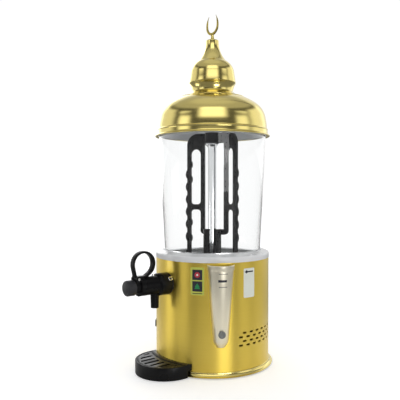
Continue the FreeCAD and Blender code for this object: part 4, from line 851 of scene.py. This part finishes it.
# bowl and pipe
@dataclass
class Bowl:
    """The clear bowl, which tapers a little, and the pipe that stands in it."""

    foot: float = 84.2
    rim: float = 94.6
    wall: float = 2.5
    low: float = 194.0
    high: float = 401.0

    def shell(self) -> bpy.types.Object:
        """The bowl's wall, open at the foot and the top, with a rolled rim."""
        profile = bent_line([
            (self.foot - self.wall, self.low), (self.foot, self.low), (self.rim, self.high - 4),
            (self.rim + 1.2, self.high - 2.8), (self.rim + 1.2, self.high),
            (self.rim - self.wall, self.high)])
        return lathe("bowl_shell", softened(profile, 0.6), 200)

    def pipe(self) -> bpy.types.Object:
        """The polished pipe for the stirrer's shaft, flared under the hub."""
        profile = bent_line([(5.65, 71), (7.15, 71), (7.15, 378, -14), (12.5, 384.5), (12.5, 386),
                             (5.65, 386)])
        return lathe("pipe_polished", softened(profile, 0.3), 64)

    def build(self) -> None:
        """Builds and dresses the bowl's pieces."""
        dress(self.shell(), Slot.CLEAR, "bowl", "clear_bowl")
        dress(self.pipe(), Slot.STEEL, "base", "standpipe", material=TRIM["pipe"])


# lid and finial
@dataclass
class Lid:
    """The spun lid with its liner and the onion finial."""

    low: float = 398.0
    wall: float = 1.2
    seam: float = 492.6
    top: float = 569.6
    blade_steps: int = 97
    blade_half: float = 1.5
    tip: float = 0.16

    def dome(self) -> bpy.types.Object:
        """The lid's sheet: a rolled brim, a step, a bead, a rounded shoulder and a low crown."""
        low = self.low
        outer = bent_line([
            (101.2, low), (102, low + 0.7), (101.6, low + 1.7, -3.4), (98.7, low + 4.8), (98, low + 9.8),
            (98.2, low + 10.6, 1.2), (98, low + 12.4), (96.8, low + 13.4, 77),
            (94.4, low + 32, 36.2), (80.8, low + 56, 87), (58.4, low + 68.6), (36.6, low + 68.6)], False, 2.5)
        inner = bent_line([
            (36.6, low + 67.4), (58, low + 67.4, -85.8), (79.96, low + 55.16, -35), (93.2, low + 32),
            (95.6, low + 13.6), (96.8, low + 11), (97.5, low + 4.6), (98.2, low + 2.4),
            (100.4, low)], False, 4)
        return lathe("lid_shell", softened(np.concatenate([outer, inner]), 0.5), 240, crease=50)

    def base(self) -> bpy.types.Object:
        """The finial's lower shell: a wide foot that draws in to a waist and swells to the seam."""
        foot = self.low + 68.6
        profile = bent_line([
            (58, foot), (58, foot + 1, -33), (36.6, foot + 11.5, -28.2), (41.7, self.seam),
            (40.5, self.seam, 29.4), (35.4, foot + 11.5, 34.2), (52, foot)], step=3)
        return lathe("finial_foot", softened(profile, 0.5), 200, crease=50)

    def onion(self) -> bpy.types.Object:
        """The finial's upper shell: a full belly, a rounded shoulder and a long hollow neck."""
        seam, foot, top = self.seam, self.low + 68.6, self.top
        profile = bent_line([
            (41.1, seam), (41.7, seam + 0.8, 320), (39, foot + 43.5, 26), (25.5, foot + 65.4, -49),
            (11.4, top - 1), (10.4, top), (3, top), (3, top - 3), (9.2, top - 3, 50.2),
            (24.3, foot + 65.4, -24.8), (37.8, foot + 43.5), (40.5, seam)], step=3)
        return lathe("finial_belly", softened(profile, 0.5), 200, crease=50)

    def stud(self) -> bpy.types.Object:
        """The turned stud of two beads on a thin plate."""
        top = self.top
        profile = bent_line([
            (0.01, top + 2), (3, top + 2), (3, top), (5.6, top), (5.6, top + 1.2), (2.76, top + 2, 2.6),
            (2.76, top + 5.4, 2.2), (2.5, top + 7.6), (3.2, top + 9), (0.01, top + 9)])
        return lathe("finial_beads", softened(profile, 0.3), 64, crease=50)

    def crescent(self) -> bpy.types.Object:
        """The crescent: a rounded strip carried between the outer and the inner arc, thin at both tips.

        The outer edge runs through the lowest point, the sides and the tips, and the inner one keeps a gap
        to it that shrinks from the middle to the tips.
        """
        low = self.top + 9 + 0.4
        outer = bent_line([(-9.3, low + 34, 31), (-15, low + 15, 15), (0, low, 15), (15, low + 15, 31),
                           (9.3, low + 34)], False, 4)
        inner = bent_line([(-9.3, low + 34, 31), (-13.1, low + 15, 13.4), (0, low + 4.2, 13.4),
                           (13.1, low + 15, 31), (9.3, low + 34)], False, 4)
        share = np.linspace(0, 1, self.blade_steps)

        def even(line: np.ndarray) -> np.ndarray:
            """The line at even shares of its length."""
            run = np.concatenate([[0], np.cumsum(np.linalg.norm(np.diff(line, axis=0), axis=1))])
            return np.stack([np.interp(share, run / run[-1], line[:, k]) for k in (0, 1)], 1)

        a, b = even(outer), even(inner)
        middle, across = (a + b) / 2, (b - a) / 2
        width = np.maximum(np.linalg.norm(across, axis=1), self.tip)
        slope = np.gradient(middle, axis=0)
        side = np.stack([-slope[:, 1], slope[:, 0]], 1) / np.linalg.norm(slope, axis=1)[:, None]
        section = softened(np.array([[-1, -1], [1, -1], [1, 1], [-1, 1]], float), 0.45, steps=5)
        path = np.stack([middle[:, 0], 0 * share, middle[:, 1]], 1)
        side = np.stack([side[:, 0], 0 * share, side[:, 1]], 1)
        thick = self.blade_half * np.clip(width / 0.9, 0.35, 1)
        points = carried(path, side, np.array([0.0, 1.0, 0.0]), section, width, thick)
        blade = new_mesh("crescent_blade", points, tube_faces(self.blade_steps, len(section), False), 50)
        heel = bent_line([(0.01, self.top + 9), (2.7, self.top + 9), (2.2, low + 1.6), (0.01, low + 1.6)])
        profile = softened(heel, 0.4)
        return joined("crescent_gold", [blade, lathe("crescent_heel", profile, 32)])

    def liner(self) -> bpy.types.Object:
        """The grey liner: a flat plate with a skirt that centres the lid in the bowl."""
        profile = bent_line([
            (0.01, 412), (76, 412), (89.5, 399), (89.5, 397.8), (91.5, 397.8), (91.5, 401), (97, 401),
            (97, 403), (90.5, 403), (77, 414), (0.01, 414)])
        return lathe("liner_plate", softened(profile, 0.4), 160)

    def build(self) -> None:
        """Builds and dresses the lid's pieces."""
        dress(self.dome(), Slot.GOLD_POLISHED, "lid", "lid_dome")
        dress(self.liner(), Slot.GREY, "lid", "lid_liner")
        dress(self.base(), Slot.GOLD_POLISHED, "lid", "finial_base")
        dress(self.onion(), Slot.GOLD_POLISHED, "lid", "finial_onion")
        dress(self.stud(), Slot.GOLD_POLISHED, "lid", "finial_stud")
        dress(self.crescent(), Slot.GOLD_POLISHED, "lid", "crescent", material=TRIM["horn"])


# filling pocket
@dataclass
class Pocket:
    """The filling pocket on the casing's side: half a cone of pale gold sheet, lifted near white as a painted
    reflection, with a rolled rim.
    """

    angle: float = 57.5
    axis: float = 97.0
    casing: float = 100.0
    low: float = 60.0
    high: float = 184.0
    low_radius: float = 12.75
    high_radius: float = 21.8
    flare: float = 0.073
    columns: int = 72

    def radius_at(self, height: np.ndarray) -> np.ndarray:
        """The cone's radius at a height."""
        share = (height - self.low) / (self.high - self.low)
        return self.low_radius + (self.high_radius - self.low_radius) * share

    def sheet(self, outer: np.ndarray, inner: np.ndarray, name: str) -> bpy.types.Object:
        """A wall of two profiles turned about the pocket's own axis, as far as the casing's surface lets it.

        At radius R the casing is met where cos t = (c^2 - a^2 - R^2) / (2 a R), with c the casing's radius
        and a the axis's distance. Column s of -1 to 1 stands at angle s t.

        Args:
            outer: (radius, height) of the outer face, from one end to the other.
            inner: the same of the inner face, with as many points.
            name: the piece's name.

        Returns:
            The new object.
        """
        loop = np.concatenate([outer, inner[::-1]])
        r, z = loop[:, :1], loop[:, 1:]
        limit = np.arccos(np.clip((self.casing ** 2 - self.axis ** 2 - r * r) / (2 * self.axis * r), -1, 1))
        t = limit * np.linspace(-1, 1, self.columns)[None]
        points = np.stack([r * np.sin(t), -(self.axis + r * np.cos(t)), z + 0 * t], -1)
        rows = len(loop)
        faces = lattice(rows, self.columns, True, False).tolist()
        for column in (0, self.columns - 1):
            pairs = [(k, k + 1, rows - 2 - k, rows - 1 - k) for k in range(len(outer) - 1)]
            faces += [[row * self.columns + column for row in quad] for quad in pairs]
        return new_mesh(name, round_casing(points, self.angle), faces, 35)

    def shell(self) -> bpy.types.Object:
        """The pocket's cone with its blunt foot and rolled rim band."""
        wall, rim = 1.2, self.high - 8.5
        edge = self.high_radius - (self.high - rim) * self.flare
        outer = np.array([
            (3.05, 51.2), (7.2, 51), (12.3, 59.2), (12.75, 60.4), (edge, rim - 0.2), (edge + 0.7, rim),
            (edge + 1.1, rim + 0.9), (self.high_radius + 0.9, self.high - 0.7),
            (self.high_radius + 0.4, self.high)])
        inner = np.array([
            (3.05, 52.6), (6.6, 52.4), (11.2, 59.8), (11.6, 61), (edge - wall, rim - 0.4),
            (edge - wall, rim - 0.1), (edge - wall + 0.1, rim + 0.6),
            (self.high_radius - wall, self.high - 0.8), (self.high_radius - wall + 0.5, self.high)])
        return self.sheet(outer, inner, "pocket_sheet")

    def build(self) -> None:
        """Builds and dresses the pocket."""
        dress(self.shell(), Slot.GOLD_PALE_SHEEN, "base", "fill_pocket")


# marks on the pocket and labels on the casing
@dataclass
class Labels:
    """Two stickers on the casing and the level marks on the pocket, with signs but no words."""

    casing: float = 100.0
    pocket: Pocket = field(default_factory=Pocket)
    sign_angle: float = 35.5
    sign_height: float = 157.0
    disc_height: float = 167.2
    leaf_height: float = 148.6
    bar_height: float = 137.2
    arrow_angle: float = 86.8
    arrow_height: float = 152.0
    pointer_height: float = 170.4
    marks: tuple[Corner, ...] = ((171.2, 172.0, -0.3, 0.42), (158.4, 162.2, -0.34, 0.36),
                                 (150.2, 151.0, -0.3, 0.42))

    def slip(self, half_width: float, half_height: float, corner: float) -> np.ndarray:
        """A sticker's outline: a rectangle whose corners are rounded.

        Args:
            half_width: half its width.
            half_height: half its height.
            corner: how far its corners are rounded.

        Returns:
            The outline, one row for each point.
        """
        return softened(np.array([(-half_width, -half_height), (half_width, -half_height),
                                  (half_width, half_height), (-half_width, half_height)], float), corner)

    def sticker(self, name: str, middle: float, height: float, outline: np.ndarray,
                lift: float) -> bpy.types.Object:
        """A flat outline laid on the casing: (u, v) goes to angle u / radius from the middle, height + v.

        Args:
            name: the piece's name.
            middle: the sticker's azimuth, in degrees from the front.
            height: the height of its middle.
            outline: (u, v) in millimetres, u to the right and v up.
            lift: how far its face stands off the casing.

        Returns:
            The new object.
        """
        dense = np.concatenate([a + (b - a) * np.linspace(0, 1, 9)[:-1, None]
                                for a, b in zip(outline, np.roll(outline, -1, 0))])
        rings = []
        for radius in (self.casing + 0.01, self.casing + lift):
            for share in (1.0, 0.66, 0.33, 0.02):
                flat = outline.mean(0) + (dense - outline.mean(0)) * share
                turn, tall = flat[:, 0] / self.casing, height + flat[:, 1]
                rings.append(np.stack([radius * np.sin(turn), -radius * np.cos(turn), tall], -1))
        points = np.stack(rings[3::-1] + rings[4:])
        return new_mesh(name, round_casing(points, middle), tube_faces(8, len(dense), False), 35)

    def mark(self, name: str, left: float, right: float, low: float, high: float) -> bpy.types.Object:
        """A printed bar on the pocket's cone: (t, z) goes to the cone's radius at z, at angle t.

        Args:
            name: the piece's name.
            left: the bar's first angle about the pocket's axis, in radians.
            right: its last angle.
            low: its lower height.
            high: its upper height.

        Returns:
            The new object.
        """
        t = np.linspace(left, right, 9)[None]
        z = np.array([low, high])[:, None]
        sheets = []
        for lift in (0.02, 0.12):
            r = self.pocket.radius_at(z) + lift
            sheets.append(np.stack([r * np.sin(t), -(self.pocket.axis + r * np.cos(t)), z + 0 * t], -1))
        points = np.stack([sheets[0][0], sheets[1][0], sheets[1][1], sheets[0][1]])
        faces = lattice(4, 9, True, False).tolist() + [[27, 18, 9, 0], [8, 17, 26, 35]]
        return new_mesh(name, round_casing(points, self.pocket.angle), faces, 35)

    def build(self) -> None:
        """Builds and dresses the stickers and the marks."""
        square, disc = self.slip(8.4, 8.4, 0.6), bent_line([(4.6, 0, 4.6), (-4.6, 0, 4.6)], True, 12)
        leaf = np.array([(-4.6, -3.8), (4.6, -3.8), (2.6, -0.6), (3.8, -0.6), (0, 5.4), (-3.8, -0.6),
                         (-2.6, -0.6)])
        arrow = np.array([(-9.4, 0), (-5.6, 3.0), (-5.6, 1.1), (8.4, 1.1), (8.4, -1.1), (-5.6, -1.1),
                          (-5.6, -3.0)])
        sign, slip = self.sign_angle, self.arrow_angle
        layers = [
            ("sticker_sign", sign, self.sign_height, self.slip(11.3, 22.5, 2.2), 0.12, "lime"),
            ("sticker_upper", sign, self.disc_height, square, 0.2, "ink"),
            ("sticker_lower", sign, self.leaf_height, square, 0.2, "ink"),
            ("sticker_disc", sign, self.disc_height, disc, 0.27, "red"),
            ("sticker_dot", sign, self.disc_height, disc * 0.36, 0.33, "paper"),
            ("sticker_leaf", sign, self.leaf_height - 0.2, leaf, 0.27, "green"),
            ("sticker_bar", sign, self.bar_height, self.slip(8.2, 0.6, 0.3), 0.2, "ink"),
            ("sticker_arrow", slip, self.arrow_height, self.slip(11.4, 24.0, 2.2), 0.12, "paper"),
            ("sticker_pointer", slip, self.pointer_height, arrow, 0.2, "ink"),
        ]
        for name, angle, height, outline, lift, finish in layers:
            slot = Slot.BLACK if finish == "ink" else Slot.WHITE
            dress(self.sticker(name, angle, height, outline, lift), slot, "base", material=TRIM[finish])
        for index, (low, high, left, right) in enumerate(self.marks):
            mark = self.mark("level_mark_%d" % index, left, right, low, high)
            dress(mark, Slot.BLACK, "base", material=TRIM["ink"])


# tap
@dataclass
class Tap:
    """The push-in tap: moulded body, lever with a finger loop, end cap, and two metal fasteners."""

    height: float = 148.0
    pivot: Corner = (-159.5, 161.5)
    loop: Corner = (-147.5, 184.5)
    loop_radius: float = 19.3
    width: float = 10.0
    strap_feet: tuple[Corner, Corner] = ((-162.6, 164.2), (-143.4, 164.2))
    strap_steps: int = 120
    toe_height: float = 149.5
    pin_place: Corner = (0.0, -127.6, 162.4)
    housing_radius: float = 19.3

    def lever(self) -> bpy.types.Object:
        """The lever: a strap round the loop, thicker at the back, on a plate with a boss and a toe."""
        y, z = self.loop
        radius, half = self.loop_radius, self.width / 2

        def touch(foot: Corner, side: float) -> Corner:
            """Where a line from a foot of the strap touches the loop's circle.

            Args:
                foot: (y, z) of the foot.
                side: 1 or -1, for the one or the other of the two lines that touch.

            Returns:
                (y, z) of the point on the circle.
            """
            dy, dz = foot[0] - y, foot[1] - z
            angle = math.atan2(dz, dy) + math.acos(radius / math.hypot(dy, dz)) * side
            return (y + radius * math.cos(angle), z + radius * math.sin(angle))

        front, back = self.strap_feet
        line = bent_line([front, (*touch(front, -1), -radius), (y, z + radius, -radius), touch(back, 1),
                          back], False, 4)
        run = np.concatenate([[0], np.cumsum(np.linalg.norm(np.diff(line, axis=0), axis=1))])
        share = np.linspace(0, run[-1], self.strap_steps)
        line = np.stack([np.interp(share, run, line[:, k]) for k in (0, 1)], 1)
        slope = np.gradient(line, axis=0)
        slope /= np.linalg.norm(slope, axis=1)[:, None]
        path = np.stack([0 * share, line[:, 0], line[:, 1]], 1)
        up = np.stack([0 * share, slope[:, 1], -slope[:, 0]], 1)
        section = softened(np.array([(-1, -1), (1, -1), (1, 1), (-1, 1)], float), 0.5, steps=5)
        thick = np.interp(share / run[-1], [0, 0.3, 0.5, 0.72, 1], [3.6, 3.7, 3.6, 5.4, 4.6]) / 2
        strap = new_mesh("strap", carried(path, np.array([1.0, 0, 0]), up, section, half, thick),
                         tube_faces(self.strap_steps, len(section), False), 50)
        plate = rounded_box("plate", (-half, -164.4, 163.3), (half, -141, 165.9), 0.8)
        y, z = self.pivot
        boss = bent_line([(2.06, -half), (3.6, -half), (3.6, half), (2.06, half)])
        boss = turned_points(softened(boss, 0.5), 40)
        boss = np.stack([boss[..., 2], boss[..., 0] + y, boss[..., 1] + z], -1)
        boss = new_mesh("boss", boss, lattice(boss.shape[0], 40, True, True), 40)
        neck = rounded_box("neck", (-2.8, y - 1.5, self.toe_height), (2.8, y + 1.5, z - 2.6), 0.4)
        toe = bent_line([(0.01, -2.8), (2.6, -2.8), (2.6, 2.8), (0.01, 2.8)])
        toe = turned_points(softened(toe, 0.4), 32)
        toe = np.stack([toe[..., 2], toe[..., 0] + y, toe[..., 1] + self.toe_height], -1)
        toe = new_mesh("toe", toe, lattice(toe.shape[0], 32, True, True), 40)
        return joined("lever_loop", [strap, plate, boss, neck, toe])

    def cap(self) -> bpy.types.Object:
        """The end cap: a cup with a rounded rim, a shallow ring in its face and the bore for the piston."""
        profile = bent_line([
            (0.01, 177), (5.06, 177), (5.06, 163.5), (8.5, 163.5), (8.5, 166), (12.5, 166),
            (12.5, 177.4, 2.9), (10.6, 179.9), (9.6, 180.5), (9.2, 180.2), (8.6, 180.4), (6, 181.4, 24),
            (0.01, 182)], step=6)
        return lathe("tap_cap", softened(profile, 0.35), 96, self.height, 40)

    def pin(self) -> bpy.types.Object:
        """The grey pin that stands out of the barrel's top behind the lever."""
        profile = softened(bent_line([(0.01, 0), (2.6, 0), (2.6, 3.4), (1.9, 4.2), (0.01, 4.2)]), 0.5)
        points = turned_points(profile, 32) + np.array(self.pin_place)
        return new_mesh("tap_pin", points, lattice(len(profile), 32, True, True), 40)

    def clip(self) -> bpy.types.Object:
        """The bright spring clip on the housing's side: a wire bent into a long loop with its ends apart.

        The wire's circle is carried along the loop, which bends round the housing as its height changes.
        """
        line = bent_line([(-99.6, 160.6), (-105.2, 160.4, 2.2), (-105.2, 156), (-101.2, 156.6, 1.6),
                          (-101.4, 158.8), (-103.4, 158.6)], False, 12)
        line = softened(line, 0.6, False)
        lateral = np.sqrt(self.housing_radius ** 2 - (line[:, 1] - self.height) ** 2)
        path = np.stack([lateral, line[:, 0], line[:, 1]], 1)
        slope = np.gradient(path, axis=0)
        slope /= np.linalg.norm(slope, axis=1)[:, None]
        side = np.cross(slope, [1.0, 0, 0])
        side /= np.linalg.norm(side, axis=1)[:, None]
        section = bent_line([(0.75, 0, 0.75), (-0.75, 0, 0.75)], True, 30)
        points = carried(path, side, np.cross(slope, side), section)
        return new_mesh("tap_clip", points, tube_faces(len(path), len(section), False), 50)

    def build(self) -> None:
        """Builds and dresses the tap's pieces."""
        dress(eased_copy("tap_body", "tap_shell", 0.5), Slot.BLACK, "base", "tap_body")
        dress(self.lever(), Slot.BLACK, "lever", "tap_lever")
        dress(self.cap(), Slot.BLACK, "base", "tap_end_cap", material=TRIM["cap"])
        dress(self.pin(), Slot.STEEL, "base")
        dress(self.clip(), Slot.STEEL, "base")


# stirrer, tray and controls
@dataclass
class Stirrer:
    """The black paddle that turns round the pipe, with its edges rounded as moulded."""

    edge: float = 0.9
    window_angle: float = 49.5
    window_width: float = 12.4
    window_low: float = 140.0
    window_high: float = 238.0
    window_reach: float = 24.0

    def window_corners(self) -> np.ndarray:
        """The corners of the block that opens the sleeve towards the front: x, y and z each low or high."""
        half = self.window_width / 2
        return np.array([[x, y, z] for x in (-half, half) for y in (-self.window_reach, 0.0)
                         for z in (self.window_low, self.window_high)])

    def build(self) -> None:
        """Builds and dresses the paddle and its cap."""
        cutter = new_mesh("window", round_casing(self.window_corners(), self.window_angle), BOX_FACES)
        paddle = eased_copy("stirrer_paddle", "paddle_moulding", self.edge, cutter=cutter)
        dress(paddle, Slot.BLACK, "stirrer", "stirrer_paddle")
        dress(eased_copy("stirrer_cap", "paddle_cap", 0.6), Slot.BLACK, "stirrer", "stirrer_cap")


@dataclass
class Tray:
    """The drip tray with its slotted grille, rounded at the top and the foot."""

    edge: float = 1.1
    slots: float = 0.5

    def build(self) -> None:
        """Builds and dresses the tray and its grille."""
        dress(eased_copy("drip_tray", "tray_moulding", self.edge), Slot.BLACK, "tray", "drip_tray")
        dress(eased_copy("drip_grille", "tray_grille", self.slots), Slot.BLACK, "grille", "drip_grille")


@dataclass
class Controls:
    """The rocker switch, the thermostat's knob, the cable inlet and the drain plug."""

    plug_way: Corner = (0.843391, -0.5373)
    plug_height: float = 74.0
    knob_angle: float = -85.0
    knob_height: float = 55.0
    pointer_half: float = 0.7
    pointer_reach: Corner = (3.0, 14.0)
    pointer_faces: Corner = (116.4, 116.75)

    def plug(self) -> bpy.types.Object:
        """The drain plug: a domed head with a shallow dish on a stem, laid along its way out."""
        low, high = plug_reach(self.plug_way)
        profile = bent_line([(0.01, low), (4, low), (4, high - 2.6), (6, high - 2.6), (6, high - 1.1, 1.3),
                             (4.8, high), (3.4, high - 0.1), (2.9, high - 0.7), (0.01, high - 0.8)])
        points = turned_points(softened(profile, 0.3), 64)
        x, y = self.plug_way
        out, up, side = points[..., 2], points[..., 0], points[..., 1]
        points = np.stack([out * x - side * y, out * y + side * x, up + self.plug_height], -1)
        return new_mesh("drain_stopper", points, lattice(points.shape[0], 64, True, True), 40)

    def pointer(self) -> bpy.types.Object:
        """The white line on the knob's face that shows its setting."""
        half, (inner, outer) = self.pointer_half, self.pointer_reach
        sheet = [(-half, inner), (half, inner), (half, outer), (-half, outer)]
        piece = np.array([(x, up, out) for out in self.pointer_faces for x, up in sheet], float)
        points = np.stack([piece[:, 0], -piece[:, 2], self.knob_height + piece[:, 1]], -1)
        faces = [(0, 1, 2, 3), (4, 5, 6, 7), (0, 1, 5, 4), (1, 2, 6, 5), (2, 3, 7, 6), (3, 0, 4, 7)]
        return new_mesh("knob_pointer", round_casing(points, self.knob_angle), faces)

    def build(self) -> None:
        """Builds and dresses the controls."""
        dress(eased_copy("switch_housing", "switch_frame", 0.3), Slot.BLACK, "base", "switch_housing")
        dress(eased_copy("switch_rocker", "switch_key", 0.4), Slot.BLACK, "rocker", "switch_rocker")
        dress(eased_copy("thermostat_knob", "knob_moulding", 0.5), Slot.BLACK, "knob", "thermostat_knob")
        dress(eased_copy("cable_gland", "gland_moulding", 0.4), Slot.BLACK, "base", "cable_gland")
        dress(self.plug(), Slot.GREY_RUBBER, "plug", "drain_plug", material=TRIM["plug"])
        dress(self.pointer(), Slot.WHITE, "knob")


# stage
@dataclass(frozen=True)
class SoftBox:
    """A patch of the room's light, by azimuth from the front and elevation, in degrees."""

    azimuth: float
    half_width: float
    edge: float
    low: float
    high: float
    strength: float


@dataclass(frozen=True)
class LightCard:
    """A low light card that stands on the floor, in metres, at an azimuth from the front in degrees."""

    azimuth: float
    width: float
    height: float
    radiance: float


@dataclass
class Stage:
    """Floor, soft studio light and the camera that sees what the photograph sees, in metres.

    The camera sees a pale floor and a white backdrop. Light and mirrored rays see a floor with a painted pool
    of light, paler near the object, and a room of soft boxes and light cards.
    """

    distance: float = 0.943
    azimuth: float = 49.5
    height: float = 0.3049
    pitch: float = 0.02
    focal: float = 527.0
    frame_width: float = 400.0
    sensor: float = 36.0
    axis_column: float = 212.3
    floor_half: float = 6.0
    floor_low: float = 0.86
    floor_high: float = 0.88
    floor_rough: float = 0.7
    floor_specular: float = 0.1
    bounce_near: float = 0.95
    bounce_far: float = 0.33
    near: float = 0.24
    far: float = 0.5
    lift: float = 0.4
    ambient: float = 0.12
    backdrop: float = 1.02
    fade: float = 0.06
    boxes: tuple[SoftBox, ...] = (
        SoftBox(229.5, 45.0, 12.0, -90.0, 42.0, 0.87),
        SoftBox(-106.0, 18.0, 10.0, -60.0, 32.0, 1.4),
        SoftBox(-62.0, 20.0, 10.0, -60.0, 32.0, 0.9),
        SoftBox(-12.0, 11.0, 7.0, -60.0, 26.0, 1.5),
        SoftBox(66.0, 7.0, 5.0, -60.0, 2.0, 3.0),
        SoftBox(116.0, 12.0, 8.0, -60.0, 26.0, 1.3),
        SoftBox(165.0, 25.0, 12.0, -60.0, 32.0, 1.1),
        SoftBox(50.0, 29.0, 9.0, 23.0, 47.0, 1.75),
        SoftBox(0.0, 180.0, 5.0, 40.0, 90.0, 0.42),
        SoftBox(0.0, 180.0, 5.0, 64.0, 90.0, 0.2),
    )
    card_distance: float = 1.25
    light_cards: tuple[LightCard, ...] = (LightCard(73.0, 0.52, 0.2, 8.0), LightCard(-38.0, 0.5, 0.2, 3.0))

    def seen(self, tree: bpy.types.NodeTree) -> bpy.types.NodeSocket:
        """1 for a ray from the camera, straight or through the clear bowl, and 0 for any other.

        Args:
            tree: the world's or the floor's nodes.

        Returns:
            The socket.
        """
        path = add(tree, "ShaderNodeLightPath").outputs
        return add(tree, "ShaderNodeMath", operation="MAXIMUM", in_0=path["Is Camera Ray"],
                   in_1=path["Is Transmission Ray"]).outputs[0]

    def floor(self) -> None:
        """A pale floor. The camera sees it evenly pale, lifted by a glow of its own; light and mirrored rays
        see a painted pool of light on it, paler near the object.
        """
        grid = np.linspace(-self.floor_half, self.floor_half, 5) / MM
        x, y = np.meshgrid(grid, grid, indexing="ij")
        piece = new_mesh("floor", np.stack([x, y, 0 * x], -1), lattice(5, 5, False, False), weld=False)
        made, tree, shader = start_material("floor white")
        cloud = add(tree, "ShaderNodeTexNoise", in_Scale=1.5, in_Detail=2.0,
                    in_Vector=add(tree, "ShaderNodeTexCoord").outputs["Object"])
        seen = self.seen(tree)
        pale = tone(tree, cloud.outputs["Fac"], (self.floor_low,) * 3, (self.floor_high,) * 3)
        # painted pool of light: for rays other than the camera's, the floor is paler near the object and
        # darker farther out
        reach = add(tree, "ShaderNodeVectorMath", operation="LENGTH",
                    in_0=add(tree, "ShaderNodeTexCoord").outputs["Object"])
        bounce = add(tree, "ShaderNodeMapRange", in_Value=reach.outputs["Value"], in_1=self.near,
                     in_2=self.far, in_3=self.bounce_near, in_4=self.bounce_far)
        base = add(tree, "ShaderNodeMix", data_type="RGBA", in_0=seen, in_6=bounce.outputs[0], in_7=pale)
        tree.links.new(base.outputs[2], shader.inputs["Base Color"])
        lift = add(tree, "ShaderNodeMath", operation="MULTIPLY", in_0=seen, in_1=self.lift)
        tree.links.new(lift.outputs[0], shader.inputs["Emission Strength"])
        shader.inputs["Emission Color"].default_value = (1, 1, 1, 1)
        shader.inputs["Roughness"].default_value = self.floor_rough
        shader.inputs["Specular IOR Level"].default_value = self.floor_specular
        piece.data.materials.append(made)

    def sky(self) -> None:
        """The room's light by direction: each soft box is a smooth patch of the sky about its own azimuth.

        A box adds its strength where the azimuth is within its half width and the elevation between its
        lowest and highest, and it fades over its edge. In elevation it fades over a step of the sine.
        """
        world = bpy.data.worlds.new("studio")
        world.use_nodes = True
        tree = world.node_tree
        back = tree.nodes["Background"]
        back.inputs["Color"].default_value = (1, 1, 1, 1)
        way = add(tree, "ShaderNodeTexCoord").outputs["Generated"]
        level = add(tree, "ShaderNodeVectorMath", operation="MULTIPLY", in_0=way, in_1=(1, 1, 0))
        level = add(tree, "ShaderNodeVectorMath", operation="NORMALIZE", in_0=level.outputs["Vector"])
        rise = add(tree, "ShaderNodeSeparateXYZ", in_Vector=way).outputs["Z"]

        def ramp(value: bpy.types.NodeSocket, start: float, end: float, top: float) -> bpy.types.NodeSocket:
            """A smooth step from 0 at the start to the top at the end."""
            return add(tree, "ShaderNodeMapRange", interpolation_type="SMOOTHSTEP", in_Value=value,
                       in_1=start, in_2=end, in_3=0.0, in_4=top).outputs[0]

        total = None
        for box in self.boxes:
            a = math.radians(box.azimuth)
            near = add(tree, "ShaderNodeVectorMath", operation="DOT_PRODUCT", in_0=level.outputs["Vector"],
                       in_1=(math.sin(a), -math.cos(a), 0))
            sides = ramp(near.outputs["Value"], math.cos(math.radians(min(box.half_width + box.edge, 180))),
                         math.cos(math.radians(max(box.half_width - box.edge, 0))), box.strength)
            bottom, top = math.sin(math.radians(box.low)), math.sin(math.radians(box.high))
            patch = add(tree, "ShaderNodeMath", operation="MULTIPLY", in_0=sides,
                        in_1=ramp(rise, bottom - self.fade, bottom + self.fade, 1.0)).outputs[0]
            if box.high < 90:
                patch = add(tree, "ShaderNodeMath", operation="MULTIPLY", in_0=patch,
                            in_1=ramp(rise, top + self.fade, top - self.fade, 1.0)).outputs[0]
            total = patch if total is None else add(tree, "ShaderNodeMath", operation="ADD", in_0=total,
                                                    in_1=patch).outputs[0]
        total = add(tree, "ShaderNodeMath", operation="ADD", in_0=total, in_1=self.ambient).outputs[0]
        plain = add(tree, "ShaderNodeMix", data_type="FLOAT", in_0=self.seen(tree), in_2=total,
                    in_3=self.backdrop)
        tree.links.new(plain.outputs[0], back.inputs["Strength"])
        bpy.context.scene.world = world

    def camera(self) -> None:
        """The camera, on the photograph's side: it looks a little to the left of the axis and down."""
        a = math.radians(self.azimuth)
        out = Vector((math.sin(a), -math.cos(a), 0))
        right = Vector((math.cos(a), math.sin(a), 0))
        yaw = math.atan((self.axis_column - self.frame_width / 2) / self.focal)
        look = (-out * math.cos(yaw) - right * math.sin(yaw)) * math.cos(self.pitch) \
            + Vector((0, 0, -math.sin(self.pitch)))
        data = bpy.data.cameras.new("camera")
        data.sensor_width = self.sensor
        data.lens = self.sensor * self.focal / self.frame_width
        data.clip_start = 0.01
        seat = bpy.data.objects.new("camera", data)
        seat.location = out * self.distance + Vector((0, 0, self.height))
        seat.rotation_euler = look.to_track_quat("-Z", "Y").to_euler()
        bpy.context.scene.collection.objects.link(seat)
        bpy.context.scene.camera = seat

    def cards(self) -> None:
        """Low light cards behind the camera, which the casing mirrors as broad streaks."""
        for card in self.light_cards:
            a = math.radians(card.azimuth)
            out = Vector((math.sin(a), -math.cos(a), 0))
            data = bpy.data.lights.new("card", "AREA")
            data.shape, data.size, data.size_y = "RECTANGLE", card.width, card.height
            data.energy = card.radiance * math.pi * card.width * card.height
            lamp = bpy.data.objects.new("card", data)
            lamp.location = out * self.card_distance + Vector((0, 0, card.height / 2))
            lamp.rotation_euler = (-out).to_track_quat("-Z", "Y").to_euler()
            lamp.visible_camera = False
            bpy.context.scene.collection.objects.link(lamp)

    def build(self) -> None:
        """Builds the stage."""
        self.camera()
        self.cards()
        self.floor()
        self.sky()
        bpy.context.scene.view_settings.view_transform = "Standard"


def main() -> None:
    """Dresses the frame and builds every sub-assembly in order."""
    logging.basicConfig(level=logging.INFO, format="%(message)s")
    FINISHES.dress_frame()
    for part in (Stage(), Casing(), Bowl(), Stirrer(), Lid(), Pocket(), Labels(), Tap(), Tray(), Controls()):
        LOG.info("%s", type(part).__name__)
        part.build()


if __name__ == "__main__":
    main()
